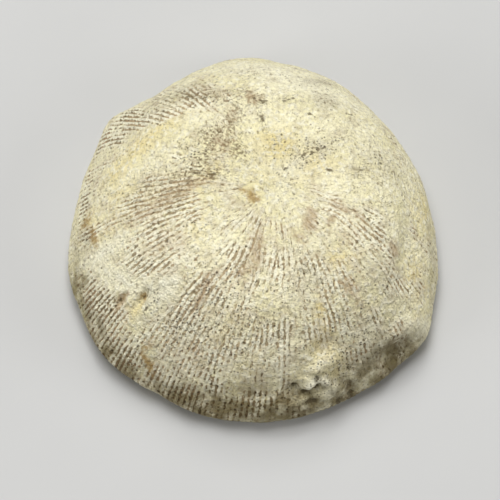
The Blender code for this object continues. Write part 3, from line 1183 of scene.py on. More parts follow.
    @staticmethod
    def quads(first: int, rings: int, count: int) -> Array:
        """Four-sided faces between the neighbouring rings of one zone.

        Args:
            first: the zone's first point.
            rings: how many rings.
            count: how many points in a ring.

        Returns:
            m by 4 point numbers.
        """
        here = np.arange(count)[None, :]
        after = (here + 1) % count
        inner = first + np.arange(rings - 1)[:, None] * count
        outer = inner + count
        corners = [inner + here, outer + here, outer + after, inner + after]
        return np.stack(corners, axis=-1).reshape(-1, 4)

    @staticmethod
    def fan(tip: int, ring: int, count: int) -> Array:
        """Triangles from one point to every edge of a ring."""
        here = np.arange(count)
        return np.stack([0 * here + tip, ring + here, ring + (here + 1) % count], axis=1)

    @staticmethod
    def stitch(ring: int, count: int, following: int, following_count: int) -> Array:
        """Faces between two rings whose counts are equal or differ by a factor of 2.

        Args:
            ring: the first point of the ring that comes first.
            count: its count.
            following: the first point of the next ring.
            following_count: its count.

        Returns:
            m by 3 point numbers.
        """
        if count == following_count:
            here = np.arange(count)
            after = (here + 1) % count
            one = np.stack([ring + here, following + here, following + after], axis=1)
            two = np.stack([ring + here, following + after, ring + after], axis=1)
            return np.concatenate([one, two])
        few_first = count < following_count
        few, many = (ring, following) if few_first else (following, ring)
        few_count = min(count, following_count)
        here = np.arange(few_count)
        after = (here + 1) % few_count
        left = many + 2 * here
        right = many + (2 * here + 2) % (2 * few_count)
        faces = np.concatenate([
            np.stack([few + here, left, left + 1], axis=1),
            np.stack([few + here, left + 1, few + after], axis=1),
            np.stack([few + after, left + 1, right], axis=1),
        ])
        return faces if few_first else faces[:, ::-1]

    @staticmethod
    def unrolled(values: Array, faces: Array, around: float) -> Array:
        """Values at the corners of faces, where those across the seam go on counting.

        Args:
            values: one value for each point, from 0 to `around`.
            faces: m by k point numbers.
            around: the value that meets 0 at the seam.

        Returns:
            m by k values.
        """
        corner = values[faces]
        behind = corner.max(axis=1, keepdims=True) - corner > around / 2
        return corner + around * behind

    def faces(self, zones: list[Zone], starts: Array) -> tuple[Array, Array]:
        """Four-sided faces in the zones, and triangles between them and at both ends.

        Args:
            zones: every zone in order.
            starts: the first point of each zone, then the point in the calyx's middle,
                which the point in the base's middle follows.

        Returns:
            m by 4 and k by 3 point numbers.
        """
        tip = starts[-1]
        first, last = zones[0], zones[-1]
        quads = [self.quads(start, zone.rings, zone.count) for zone, start in zip(zones, starts)]
        triangles = [
            self.stitch(start - zone.count, zone.count, start, following.count)
            for zone, following, start in zip(zones, zones[1:], starts[1:])
        ]
        triangles.append(self.fan(tip, 0, first.count))
        triangles.append(self.fan(tip + 1, tip - last.count, last.count)[:, [0, 2, 1]])
        return np.concatenate(quads), np.concatenate(triangles)

    def build(self, low: Vector, high: Vector) -> bpy.types.Object:
        """The skin as one object, fitted to the CAD solid's box.

        Args:
            low: the box's lowest corner, in metres.
            high: its highest corner.

        Returns:
            The object, at the origin.
        """
        zones = self.zones()
        starts = np.cumsum([0] + [zone.rings * zone.count for zone in zones])
        quads, triangles = self.faces(zones, starts)
        ends = np.stack([zones[0].points[0].mean(axis=0), zones[-1].points[-1].mean(axis=0)])
        points = np.concatenate([*(zone.points.reshape(-1, 3) for zone in zones), ends])
        lowest = points.min(axis=0)
        size = (np.array(high) - np.array(low)) / (points.max(axis=0) - lowest)
        mesh = mesh_from((points - lowest) * size + np.array(low), quads, triangles)

        for name in zones[0].masks:
            masks = [zone.masks[name] for zone in zones]
            middle = [masks[0][0].mean(), masks[-1][-1].mean()]
            values = np.concatenate([*(mask.ravel() for mask in masks), middle])
            domain = "POINT"
            if name is Guide.LANE:
                domain = "CORNER"
                values = np.concatenate([
                    self.unrolled(values, faces, self.septa.at_rim).ravel()
                    for faces in (quads, triangles)
                ])
            attribute = mesh.attributes.new(name.value, "FLOAT", domain)
            attribute.data.foreach_set("value", values.astype(np.float32))
        coral = bpy.data.objects.new(SKIN, mesh)
        bpy.context.scene.collection.objects.link(coral)
        return coral


def mesh_from(points: Array, quads: Array, triangles: Array) -> bpy.types.Mesh:
    """A smooth mesh from whole arrays of points and faces.

    Args:
        points: n by 3 places in metres.
        quads: m by 4 point numbers.
        triangles: k by 3 point numbers.

    Returns:
        The mesh.
    """
    mesh = bpy.data.meshes.new(SKIN)
    mesh.vertices.add(len(points))
    mesh.vertices.foreach_set("co", points.astype(np.float32).ravel())
    corners = np.concatenate([quads.ravel(), triangles.ravel()]).astype(np.int32)
    sizes = np.concatenate([np.full(len(quads), 4), np.full(len(triangles), 3)])
    starts = np.concatenate([[0], np.cumsum(sizes)[:-1]]).astype(np.int32)
    mesh.loops.add(len(corners))
    mesh.loops.foreach_set("vertex_index", corners)
    mesh.polygons.add(len(sizes))
    mesh.polygons.foreach_set("loop_start", starts)
    mesh.polygons.foreach_set("use_smooth", np.ones(len(sizes), dtype=bool))
    mesh.update(calc_edges=True)
    mesh.validate()
    return mesh


class Laid(Enum):
    """How one colour lies over another."""

    OVER = "MIX"
    DARKENING = "MULTIPLY"


class Wiring:
    """Adds nodes to a material's or a group's tree and joins their sockets.

    The mix numbers are the places of the sockets of a Mix node that mixes colours.
    """

    mix_share = 0
    mix_under = 6
    mix_over = 7
    mix_result = 2

    def __init__(self, tree: bpy.types.NodeTree) -> None:
        """Keep the tree that the nodes go in."""
        self.tree = tree

    def add(self, kind: str, **inputs: object) -> bpy.types.Node:
        """A node, with some of its inputs set or linked.

        Args:
            kind: the node's Blender type.
            inputs: values or output sockets by input name, with _ for a space.

        Returns:
            The node.
        """
        node = self.tree.nodes.new(kind)
        for name, value in inputs.items():
            self.feed(node.inputs[name.replace("_", " ")], value)
        return node

    def feed(self, socket: bpy.types.NodeSocket, value: object) -> None:
        """Link an output socket to an input, or set the input's own value.

        Args:
            socket: the input.
            value: an output socket or a value.
        """
        if isinstance(value, bpy.types.NodeSocket):
            self.tree.links.new(value, socket)
        else:
            socket.default_value = value

    def math(self, operation: str, *values: object) -> bpy.types.NodeSocket:
        """The result of a Math node.

        Args:
            operation: the node's operation.
            values: a value or an output socket for each of its inputs.

        Returns:
            The result's socket.
        """
        node = self.tree.nodes.new("ShaderNodeMath")
        node.operation = operation
        for socket, value in zip(node.inputs, values):
            self.feed(socket, value)
        return node.outputs[0]

    def blend(self, share: object, low: object, high: object) -> bpy.types.NodeSocket:
        """A value that goes from low to high as the share goes from 0 to 1."""
        return self.math("MULTIPLY_ADD", share, self.math("SUBTRACT", high, low), low)

    def swing(self, noise: object, size: float) -> bpy.types.NodeSocket:
        """Noise from 0 to 1 made as wide as the size, with its middle at 0."""
        return self.math("MULTIPLY_ADD", noise, size, -0.5 * size)

    def product(self, *values: object) -> bpy.types.NodeSocket:
        """Values multiplied together, from the first on.

        Args:
            values: two or more values or output sockets.

        Returns:
            The product's socket.
        """
        result = values[0]
        for value in values[1:]:
            result = self.math("MULTIPLY", result, value)
        return result

    def band(self, value: object, low: object, high: object) -> bpy.types.NodeSocket:
        """0 below low and 1 above high, with a smooth step between.

        Args:
            value: an output socket.
            low: where the step starts.
            high: where it ends.

        Returns:
            The result's socket.
        """
        node = self.tree.nodes.new("ShaderNodeMapRange")
        node.interpolation_type = "SMOOTHSTEP"
        self.feed(node.inputs["Value"], value)
        self.feed(node.inputs["From Min"], low)
        self.feed(node.inputs["From Max"], high)
        return node.outputs["Result"]

    def mix(
        self, share: object, under: object, over: object, how: Laid = Laid.OVER
    ) -> bpy.types.NodeSocket:
        """One colour laid over another by a share.

        Args:
            share: a value or an output socket, 0 for under and 1 for over.
            under: a colour or an output socket.
            over: a colour or an output socket.
            how: how the upper colour lies.

        Returns:
            The mixed colour's socket.
        """
        node = self.tree.nodes.new("ShaderNodeMix")
        node.data_type = "RGBA"
        node.blend_type = how.value
        self.feed(node.inputs[self.mix_share], share)
        for place, colour in ((self.mix_under, under), (self.mix_over, over)):
            plain = not isinstance(colour, bpy.types.NodeSocket)
            self.feed(node.inputs[place], (*colour, 1.0) if plain else colour)
        return node.outputs[self.mix_result]

    def mask(self, name: Enum) -> bpy.types.NodeSocket:
        """A tint's mask or another guide that the mesh carries.

        Args:
            name: the tint or the guide.

        Returns:
            The value's socket.
        """
        node = self.tree.nodes.new("ShaderNodeAttribute")
        node.attribute_name = name.value
        return node.outputs["Fac"]

    def noise(self, places: object, scale: float, detail: float = 3.0) -> bpy.types.NodeSocket:
        """Solid noise from 0 to 1, by cells to a unit and how many finer layers."""
        node = self.add("ShaderNodeTexNoise", Vector=places, Scale=scale, Detail=detail)
        return node.outputs[0]


def mottle_group(detail: float = 4.0, roughness: float = 0.64) -> bpy.types.NodeTree:
    """A group that gives soft blotches: noise cut by a smooth step.

    Args:
        detail: how many finer layers the noise has.
        roughness: how strong they are.

    Returns:
        The group, with Vector, Scale, Low and High in and Mask out.
    """
    group = bpy.data.node_groups.new("mottle", "ShaderNodeTree")
    group.interface.new_socket("Vector", in_out="INPUT", socket_type="NodeSocketVector")
    for name, value in (("Scale", 1.0), ("Low", 0.4), ("High", 0.6)):
        socket = group.interface.new_socket(name, in_out="INPUT", socket_type="NodeSocketFloat")
        socket.default_value = value
    group.interface.new_socket("Mask", in_out="OUTPUT", socket_type="NodeSocketFloat")
    wiring = Wiring(group)
    given = group.nodes.new("NodeGroupInput").outputs
    noise = wiring.add(
        "ShaderNodeTexNoise",
        Vector=given["Vector"],
        Scale=given["Scale"],
        Detail=detail,
        Roughness=roughness,
    )
    wiring.add("NodeGroupOutput", Mask=wiring.band(noise.outputs[0], given["Low"], given["High"]))
    return group


@dataclass(frozen=True)
class Canvas:
    """What a finish is drawn with: wiring, coordinates and the group of soft blotches."""

    wiring: Wiring
    places: bpy.types.NodeSocket
    mottle: bpy.types.NodeTree


@dataclass(frozen=True)
class Drift:
    """Broad noise cut by a smooth step: cells in a mm, the step's ends and finer layers."""

    cells: float
    low: float
    high: float
    detail: float = 3.0

    def mask(self, canvas: Canvas) -> bpy.types.NodeSocket:
        """The drift's mask from 0 to 1."""
        noise = canvas.wiring.noise(canvas.places, self.cells, self.detail)
        return canvas.wiring.band(noise, self.low, self.high)


@dataclass(frozen=True)
class Blotches:
    """One use of the group of soft blotches: cells in a unit and the ends of the step."""

    cells: float
    low: float
    high: float

    def mask(self, canvas: Canvas) -> bpy.types.NodeSocket:
        """The blotches' mask from 0 to 1.

        Args:
            canvas: what the finish is drawn with.

        Returns:
            The mask's socket.
        """
        node = canvas.wiring.tree.nodes.new("ShaderNodeGroup")
        node.node_tree = canvas.mottle
        given = (canvas.places, self.cells, self.low, self.high)
        for name, value in zip(("Vector", "Scale", "Low", "High"), given):
            canvas.wiring.feed(node.inputs[name], value)
        return node.outputs["Mask"]


@dataclass(frozen=True)
class Layer:
    """A colour laid on in blotches, which may keep to a drift."""

    blotches: Blotches
    colour: Colour
    most: float = 1.0
    drift: Drift | None = None

    def over(self, canvas: Canvas, colour: object) -> bpy.types.NodeSocket:
        """The layer laid over a colour.

        Args:
            canvas: what the finish is drawn with.
            colour: the colour that it lies on.

        Returns:
            The colour's socket.
        """
        share = self.blotches.mask(canvas)
        if self.drift:
            share = canvas.wiring.product(share, self.drift.mask(canvas))
        return canvas.wiring.mix(canvas.wiring.product(share, self.most), colour, self.colour)


@dataclass(frozen=True)
class Dots:
    """Round dots in some random cells: cells in a mm, radius in cells, and their chance.

    A dot is full within the core share of its radius and fades out round that. The
    sure share of the dots are full ones, and the others are fainter.
    """

    cells: float
    radius: float
    chance: float
    core: float = 0.5
    sure: float = 0.4

    def mask(self, canvas: Canvas) -> bpy.types.NodeSocket:
        """The dots' mask from 0 to 1.

        Args:
            canvas: what the finish is drawn with.

        Returns:
            The mask's socket.
        """
        wiring = canvas.wiring
        cells = wiring.add("ShaderNodeTexVoronoi", Vector=canvas.places, Scale=self.cells)
        near = wiring.band(cells.outputs["Distance"], self.radius, self.core * self.radius)
        split = wiring.add("ShaderNodeSeparateColor", Color=cells.outputs["Color"])
        chosen = wiring.band(split.outputs[0], 1 - self.chance, 1 - self.sure * self.chance)
        return wiring.product(near, chosen)


@dataclass(frozen=True)
class Pores:
    """Dots that gather where broad noise is high: its cells in a mm and where it starts."""

    dots: Dots
    cells: float
    start: float


@dataclass(frozen=True)
class SeptaSockets:
    """What the septa give the material: masks from 0 to 1 and a rise in mm."""

    groove: bpy.types.NodeSocket
    pinhole: bpy.types.NodeSocket
    strokes: bpy.types.NodeSocket
    streaks: bpy.types.NodeSocket
    rise: bpy.types.NodeSocket


@dataclass(frozen=True)
class Strand:
    """Noise along the lanes: a cell's length in mm, and a start that sets it off from others."""

    length: float
    start: float

    def noise(self, wiring: Wiring, lane: object, distance: object) -> bpy.types.NodeSocket:
        """Noise in cells one lane wide, each lane with its own.

        Args:
            wiring: the material's wiring.
            lane: place across the lanes, one unit to a lane.
            distance: distance along them in mm.

        Returns:
            The noise's socket, about -1 to 1.
        """
        steps = wiring.math("MULTIPLY_ADD", distance, 1 / self.length, self.start)
        place = wiring.add("ShaderNodeCombineXYZ", X=lane, Y=steps, Z=self.start)
        return wiring.swing(wiring.noise(place.outputs[0], 1.0, detail=0.0), NOISE_WIDTH)


@dataclass(frozen=True)
class SeptaDetail:
    """Beads, bars, pores and slits of the septa, drawn by noise along their lanes."""

    stray: float = 0.06
    stray_cells: float = 5.0
    beads: Strand = Strand(0.12, 0.0)
    bead_groove: float = 0.85
    bead_rise: float = 0.022
    bars: Strand = Strand(0.20, 40.0)
    bar_cut: Band = (-0.20, 0.25)
    bar_share: float = 0.85
    bar_worn: Band = (0.45, 0.95)
    bar_worn_share: float = 0.6
    bar_rise: float = 0.016
    pores: Strand = Strand(0.13, 80.0)
    pore_cut: Band = (0.45, 0.80)
    pore_groove: float = 0.4
    pore_worn: Band = (0.25, 0.70)
    pore_depth: float = 0.030
    pore_depth_least: float = 0.35
    slits: Strand = Strand(0.20, 17.0)
    slit_cut: Band = (0.40, 0.70)
    slit_hollow: Band = (0.35, 0.90)
    slit_depth: float = 0.015
    slit_share: float = 0.34
    strokes: Strand = Strand(0.20, 61.0)
    streaks: Strand = Strand(0.70, 33.0)
    rough_cells: float = 7.0
    roughness: float = 1.00
    rim_roughness: float = 0.50
    near_rim: Band = (0.80, 0.96)
    groove_cut: Band = (-0.40, 0.95)

    @staticmethod
    def wave(wiring: Wiring, lane: object) -> bpy.types.NodeSocket:
        """Cosines across the septa: 1 on a crest and -1 in a groove.

        Args:
            wiring: the material's wiring.
            lane: place across the lanes.

        Returns:
            The wave's socket.
        """
        waves = [
            wiring.math("COSINE", wiring.product(lane, turns * math.pi))
            for turns in (0.5, 1.0, 2.0)
        ]
        closer = wiring.blend(wiring.mask(Guide.REDOUBLED), waves[1], waves[2])
        return wiring.blend(wiring.mask(Guide.DOUBLED), waves[0], closer)

    def grooves(self, canvas: Canvas, hollow: object, beads: object) -> bpy.types.NodeSocket:
        """The grooves, with sides that beads and noise make ragged.

        Args:
            canvas: what the finish is drawn with.
            hollow: the septa's wave, 1 in a groove and -1 on a crest.
            beads: noise of the beads, which narrow the grooves.

        Returns:
            The mask's socket.
        """
        wiring = canvas.wiring
        near_rim = wiring.band(wiring.mask(Guide.OUTWARD), *self.near_rim)
        roughness = wiring.blend(near_rim, self.roughness, self.rim_roughness)
        noise = wiring.swing(wiring.noise(canvas.places, self.rough_cells), NOISE_WIDTH)
        rough = wiring.math("ADD", hollow, wiring.product(noise, roughness))
        edge = wiring.math("MULTIPLY_ADD", beads, self.bead_groove, rough)
        return wiring.band(edge, *self.groove_cut)

    def sockets(self, canvas: Canvas) -> SeptaSockets:
        """The septa's masks and fine rise.

        Beads widen and narrow the grooves and raise the crests. Bars close the
        grooves, less so where they are well worn open. Pores and slits are dark holes.

        Args:
            canvas: what the finish is drawn with.

        Returns:
            The sockets.
        """
        wiring = canvas.wiring
        exposed = wiring.mask(Guide.EXPOSED)
        distance = wiring.mask(Guide.ALONG)
        noise = wiring.noise(canvas.places, self.stray_cells, detail=1.0)
        stray = wiring.swing(noise, NOISE_WIDTH)
        lane = wiring.math("MULTIPLY_ADD", stray, self.stray, wiring.mask(Guide.LANE))
        between = wiring.math("ADD", lane, 0.5)
        wave = self.wave(wiring, lane)
        hollow = wiring.product(wave, -1.0)

        beads = self.beads.noise(wiring, lane, distance)
        bars = wiring.band(self.bars.noise(wiring, between, distance), *self.bar_cut)
        worn = wiring.band(exposed, *self.bar_worn)
        worn_share = self.bar_worn_share * self.bar_share
        bars = wiring.product(bars, wiring.blend(worn, self.bar_share, worn_share))
        doubled_lane = wiring.product(lane, 2.0)
        pores = wiring.band(self.pores.noise(wiring, doubled_lane, distance), *self.pore_cut)
        slits = wiring.band(self.slits.noise(wiring, between, distance), *self.slit_cut)
        slits = wiring.product(slits, wiring.band(hollow, *self.slit_hollow))

        groove = self.grooves(canvas, hollow, beads)
        open_groove = wiring.product(groove, wiring.math("SUBTRACT", 1.0, bars))
        deep = wiring.math("MULTIPLY_ADD", pores, self.pore_groove, open_groove)
        deep = wiring.math("MINIMUM", deep, 1.0)
        holes = wiring.product(pores, deep, wiring.band(exposed, *self.pore_worn))
        pinhole = wiring.math("MAXIMUM", holes, wiring.product(slits, self.slit_share))

        raised = wiring.product(beads, wiring.math("MAXIMUM", wave, 0.0), self.bead_rise)
        barred = wiring.product(bars, groove)
        raised = wiring.math("MULTIPLY_ADD", barred, self.bar_rise, raised)
        raised = wiring.product(raised, exposed)
        shown = wiring.blend(exposed, self.pore_depth_least, 1.0)
        sunk = wiring.product(pores, shown, self.pore_depth)
        sunk = wiring.math("MULTIPLY_ADD", slits, self.slit_depth, sunk)
        return SeptaSockets(
            groove=deep,
            pinhole=pinhole,
            strokes=self.strokes.noise(wiring, lane, distance),
            streaks=self.streaks.noise(wiring, wiring.product(lane, 0.5), distance),
            rise=wiring.math("SUBTRACT", raised, sunk),
        )


def srgb(red: int, green: int, blue: int) -> Colour:
    """A colour's linear values from its 0 to 255 screen values.

    As a share s of 255, a value is s / 12.92 up to 0.04045, and above it
    ((s + 0.055) / 1.055) to the power of 2.4.

    Args:
        red: the red value.
        green: the green value.
        blue: the blue value.

    Returns:
        The linear colour.
    """
    shares = [value / 255 for value in (red, green, blue)]
    return tuple(
        share / 12.92 if share <= 0.04045 else ((share + 0.055) / 1.055) ** 2.4
        for share in shares
    )


@dataclass(frozen=True)
class Edge:
    """How a stain ends: the step that its ragged mask is cut by, and its strength."""

    low: float
    high: float
    most: float


@dataclass(frozen=True)
class FossilFinish:
    """Chalky calcite: cream crests, partly a painted highlight, taupe grooves, stains, painted
    shade on the rim and in the pits, painted highlights on the lumps, specks and a fine tooth.
    """

    cream: Colour = srgb(247, 240, 202)
    butter: Colour = srgb(240, 232, 187)
    putty: Colour = srgb(216, 207, 174)
    chalk: Colour = srgb(253, 249, 224)
    crumb: Colour = srgb(176, 165, 132)
    taupe: Colour = srgb(140, 123, 91)
    clay: Colour = srgb(173, 150, 116)
    wash: Colour = srgb(203, 182, 146)
    shade: Colour = srgb(176, 162, 130)
    pore: Colour = srgb(56, 46, 32)
    speck: Colour = srgb(110, 94, 62)
    stroke: Colour = srgb(128, 112, 80)
    tints: dict[Tint, Colour] = field(default_factory=lambda: {
        Tint.OCHRE: srgb(233, 216, 154),
        Tint.RUST: srgb(172, 143, 88),
        Tint.UMBER: srgb(180, 156, 122),
        Tint.ASH: srgb(200, 193, 168),
        # dark fill of the pits and slits: painted shade and dirt
        Tint.PIT_DIRT_AND_SHADE: srgb(98, 87, 62),
        Tint.SMUDGE: srgb(174, 161, 122),
        # the rim's painted shade, laid on by multiplying
        Tint.RIM_SHADE: srgb(150, 142, 122),
        # near-white of the chalky patches and of the lumps' painted highlights
        Tint.CHALK_AND_HIGHLIGHT: srgb(250, 246, 222),
    })
    septa: SeptaDetail = field(default_factory=SeptaDetail)

    # the pale ground, from the lowest layer up
    blotched: tuple[Layer, ...] = (
        Layer(Blotches(0.7, 0.42, 0.62), butter),
        Layer(Blotches(1.9, 0.49, 0.70), putty),
    )
    flecked: tuple[Layer, ...] = (
        Layer(Blotches(5.0, 0.48, 0.62), chalk, 0.80),
        Layer(Blotches(6.0, 0.50, 0.40), crumb, 0.22),
    )
    faint: float = 0.24
    faint_groove: Band = (0.30, 1.00)
    faint_from: Band = (0.08, 0.30)
    scuffed: tuple[Layer, ...] = (
        Layer(Blotches(10.0, 0.50, 0.66), crumb, 0.46, Drift(1.3, 0.24, 0.60)),
        Layer(Blotches(6.5, 0.565, 0.64), stroke, 0.66, Drift(1.7, 0.38, 0.62)),
    )
    specks: Dots = Dots(6.5, 0.27, 0.50)
    speck_drift: Drift = Drift(0.9, 0.36, 0.66)
    speck_most: float = 0.85

    # crests, partly a painted highlight, grooves and holes
    worn: Band = (0.10, 0.80)
    shade_cut: Band = (-0.30, 0.60)
    shade_most: float = 0.38
    wash_drift: Drift = Drift(1.9, 0.36, 0.62, detail=4.0)
    wash_most: float = 0.42
    crest_cut: Band = (0.45, 0.05)
    crest_worn: Band = (0.30, 0.90)
    crest_most: float = 0.80
    clay_drift: Drift = Drift(1.1, 0.42, 0.60)
    hole_cut: Band = (0.15, 0.85)
    hole_most: float = 0.75
    groove_pull: float = 0.95
    groove_worn: float = 1.30
    groove_worn_from: float = -0.20
    groove_cut: Band = (0.12, 0.74)
    groove_most: float = 0.76
    groove_most_rim: float = 0.96
    near_rim: Band = (0.76, 0.94)
    broken: float = 2.6
    broken_cells: float = 9.0

    # smudges, painted shade along the rim, stains and the pits' painted shade with torn edges,
    # and pores
    smudges: Blotches = Blotches(5.0, 0.47, 0.58)
    smudge_most: float = 0.50
    stroke_pull: float = 0.80
    stroke_cut: Band = (0.85, 1.20)
    stroke_most: float = 0.60
    crumbs: Blotches = Blotches(9.5, 0.535, 0.60)
    crumb_most: float = 0.92
    rim_shade_drift: Drift = Drift(2.2, 0.20, 0.60, detail=5.0)
    torn: float = 1.5
    torn_cells: float = 8.0
    torn_detail: float = 5.0
    edges: dict[Tint, Edge] = field(default_factory=lambda: {
        Tint.UMBER: Edge(0.15, 1.05, 0.70),
        Tint.RUST: Edge(0.18, 0.95, 0.85),
        # the pits' painted shade and dirt, with torn edges
        Tint.PIT_DIRT_AND_SHADE: Edge(0.32, 0.66, 0.80),
    })
    pores: tuple[Pores, ...] = (
        Pores(Dots(4.0, 0.20, 0.30), 0.8, 0.26),
        Pores(Dots(8.0, 0.34, 0.50), 1.2, 0.24),
        Pores(Dots(5.7, 0.26, 0.85), 2.0, 0.55),
        Pores(Dots(10.0, 0.36, 0.50), 2.6, 0.44),
    )
    pore_cut: Band = (0.18, 0.62)
    pore_most: float = 0.85

    # the matt surface and its tooth, in cells to a mm and rises in mm
    specular: float = 0.25
    roughness: tuple[float, float] = (0.82, 0.92)
    roughness_groove: float = 0.96
    grains: tuple[tuple[float, float], ...] = ((5.0, 0.104), (12.0, 0.078))

    def material(self, mottle: bpy.types.NodeTree) -> bpy.types.Material:
        """The fossil's material.

        Args:
            mottle: the group that gives soft blotches.

        Returns:
            The material.
        """
        material = bpy.data.materials.new("fossil_calcite")
        material.use_nodes = True
        tree = material.node_tree
        wiring = Wiring(tree)
        shader = tree.nodes["Principled BSDF"]
        shader.inputs["Specular IOR Level"].default_value = self.specular
        coordinates = tree.nodes.new("ShaderNodeTexCoord")
        mapping = wiring.add("ShaderNodeMapping", Vector=coordinates.outputs["Object"])
        mapping.inputs["Scale"].default_value = (1 / MM, 1 / MM, 1 / MM)
        canvas = Canvas(wiring, mapping.outputs["Vector"], mottle)

        septa = self.septa.sockets(canvas)
        groove = self.groove_share(canvas, septa.groove)
        patchy = self.wash_drift.mask(canvas)
        colour = self.ground(canvas, septa.groove)
        colour = self.walled(canvas, septa, (groove, patchy), colour)
        colour = self.smudged(canvas, septa.strokes, colour)
        colour = self.stained(canvas, colour)
        colour = wiring.mix(self.pore_share(canvas), colour, self.pore)
        wiring.feed(shader.inputs["Base Color"], colour)
        matt = wiring.blend(groove, wiring.blend(patchy, *self.roughness), self.roughness_groove)
        wiring.feed(shader.inputs["Roughness"], matt)
        wiring.feed(shader.inputs["Normal"], self.tooth(canvas, septa.rise))
        return material

    def ground(self, canvas: Canvas, grooves: object) -> bpy.types.NodeSocket:
        """The pale ground: cream with blotches, stains, bright chalk with painted highlights on
        the lumps, crumbs and specks.

        Args:
            canvas: what the finish is drawn with.
            grooves: the mask of the grooves.

        Returns:
            The colour's socket.
        """
        wiring = canvas.wiring
        colour: object = self.cream
        for layer in self.blotched:
            colour = layer.over(canvas, colour)
        for tint in (Tint.ASH, Tint.OCHRE):
            colour = wiring.mix(wiring.mask(tint), colour, self.tints[tint])
        for layer in self.flecked:
            colour = layer.over(canvas, colour)
        # painted highlights on the lumps, and chalky white patches
        colour = wiring.mix(wiring.mask(Tint.CHALK_AND_HIGHLIGHT), colour, self.tints[Tint.CHALK_AND_HIGHLIGHT])
        away = wiring.band(wiring.mask(Guide.OUTWARD), *self.faint_from)
        faint = wiring.product(wiring.band(grooves, *self.faint_groove), away, self.faint)
        colour = wiring.mix(faint, colour, self.crumb)
        for layer in self.scuffed:
            colour = layer.over(canvas, colour)
        lively = wiring.product(self.speck_drift.mask(canvas), self.speck_most)
        return wiring.mix(wiring.product(self.specks.mask(canvas), lively), colour, self.speck)

    def walled(
        self, canvas: Canvas, septa: SeptaSockets, shares: tuple[object, object], colour: object
    ) -> bpy.types.NodeSocket:
        """Chalky crests that are partly a painted highlight, brown grooves, dark holes and a wash
        over what is worn open.

        Args:
            canvas: what the finish is drawn with.
            septa: the septa's masks.
            shares: how brown the grooves are, and the patches of the wash.
            colour: the colour that they lie on.

        Returns:
            The colour's socket.
        """
        wiring = canvas.wiring
        groove, patchy = shares
        exposed = wiring.mask(Guide.EXPOSED)
        worn = wiring.band(exposed, *self.worn)
        streaks = wiring.band(septa.streaks, *self.shade_cut)
        colour = wiring.mix(wiring.product(worn, streaks, self.shade_most), colour, self.shade)
        colour = wiring.mix(wiring.product(worn, patchy, self.wash_most), colour, self.wash)
        # pale worn crests: chalky calcite, and partly a painted highlight on the tops of the
        # septa
        crest = wiring.band(septa.groove, *self.crest_cut)
        bare_crest_and_highlight = wiring.product(crest, wiring.band(exposed, *self.crest_worn), self.crest_most)
        colour = wiring.mix(bare_crest_and_highlight, colour, self.chalk)
        brown = wiring.mix(self.clay_drift.mask(canvas), self.taupe, self.clay)
        colour = wiring.mix(groove, colour, brown)
        hole = wiring.band(septa.pinhole, *self.hole_cut)
        return wiring.mix(wiring.product(hole, self.hole_most), colour, self.pore)

    def smudged(self, canvas: Canvas, strokes: object, colour: object) -> bpy.types.NodeSocket:
        """Clusters of soft olive smudges with darker crumbs and short strokes in them.

        Args:
            canvas: what the finish is drawn with.
            strokes: noise drawn out along the septa.
            colour: the colour that they lie on.

        Returns:
            The colour's socket.
        """
        wiring = canvas.wiring
        cluster = wiring.mask(Tint.SMUDGE)
        soft = wiring.product(self.smudges.mask(canvas), cluster, self.smudge_most)
        colour = wiring.mix(soft, colour, self.tints[Tint.SMUDGE])
        drawn = wiring.math("MULTIPLY_ADD", cluster, self.stroke_pull, strokes)
        drawn = wiring.product(wiring.band(drawn, *self.stroke_cut), self.stroke_most)
        colour = wiring.mix(drawn, colour, self.stroke)
        crumbs = wiring.product(self.crumbs.mask(canvas), cluster, self.crumb_most)
        return wiring.mix(crumbs, colour, self.speck)

    def stained(self, canvas: Canvas, colour: object) -> bpy.types.NodeSocket:
        """Painted shade along the rim, which darkens what it lies on, and the stains and the
        pits' painted shade with torn edges.

        Args:
            canvas: what the finish is drawn with.
            colour: the colour that they lie on.

        Returns:
            The colour's socket.
        """
        wiring = canvas.wiring
        # painted shade along the rim, broken up by broad noise
        soil = wiring.product(wiring.mask(Tint.RIM_SHADE), self.rim_shade_drift.mask(canvas))
        colour = wiring.mix(soil, colour, self.tints[Tint.RIM_SHADE], Laid.DARKENING)
        noise = wiring.noise(canvas.places, self.torn_cells, self.torn_detail)
        torn = wiring.swing(noise, self.torn)
        for tint, edge in self.edges.items():
            ragged = wiring.math("ADD", wiring.mask(tint), torn)
            share = wiring.product(wiring.band(ragged, edge.low, edge.high), edge.most)
            colour = wiring.mix(share, colour, self.tints[tint])
        return colour

    def groove_share(self, canvas: Canvas, grooves: object) -> bpy.types.NodeSocket:
        """How brown a place is: deep in an open groove, broken up by fine noise.

        Args:
            canvas: what the finish is drawn with.
            grooves: the mask of the grooves.

        Returns:
            The share's socket.
        """
        wiring = canvas.wiring
        sunk = wiring.product(wiring.math("SUBTRACT", grooves, 1.0), self.groove_pull)
        noise = wiring.noise(canvas.places, self.broken_cells)
        broken = wiring.product(wiring.math("SUBTRACT", noise, 0.5), self.broken)
        exposed = wiring.mask(Guide.EXPOSED)
        worn = wiring.math("MULTIPLY_ADD", exposed, self.groove_worn, self.groove_worn_from)
        value = wiring.math("ADD", worn, wiring.math("ADD", sunk, broken))
        near_rim = wiring.band(wiring.mask(Guide.OUTWARD), *self.near_rim)
        most = wiring.blend(near_rim, self.groove_most, self.groove_most_rim)
        return wiring.product(wiring.band(value, *self.groove_cut), most)

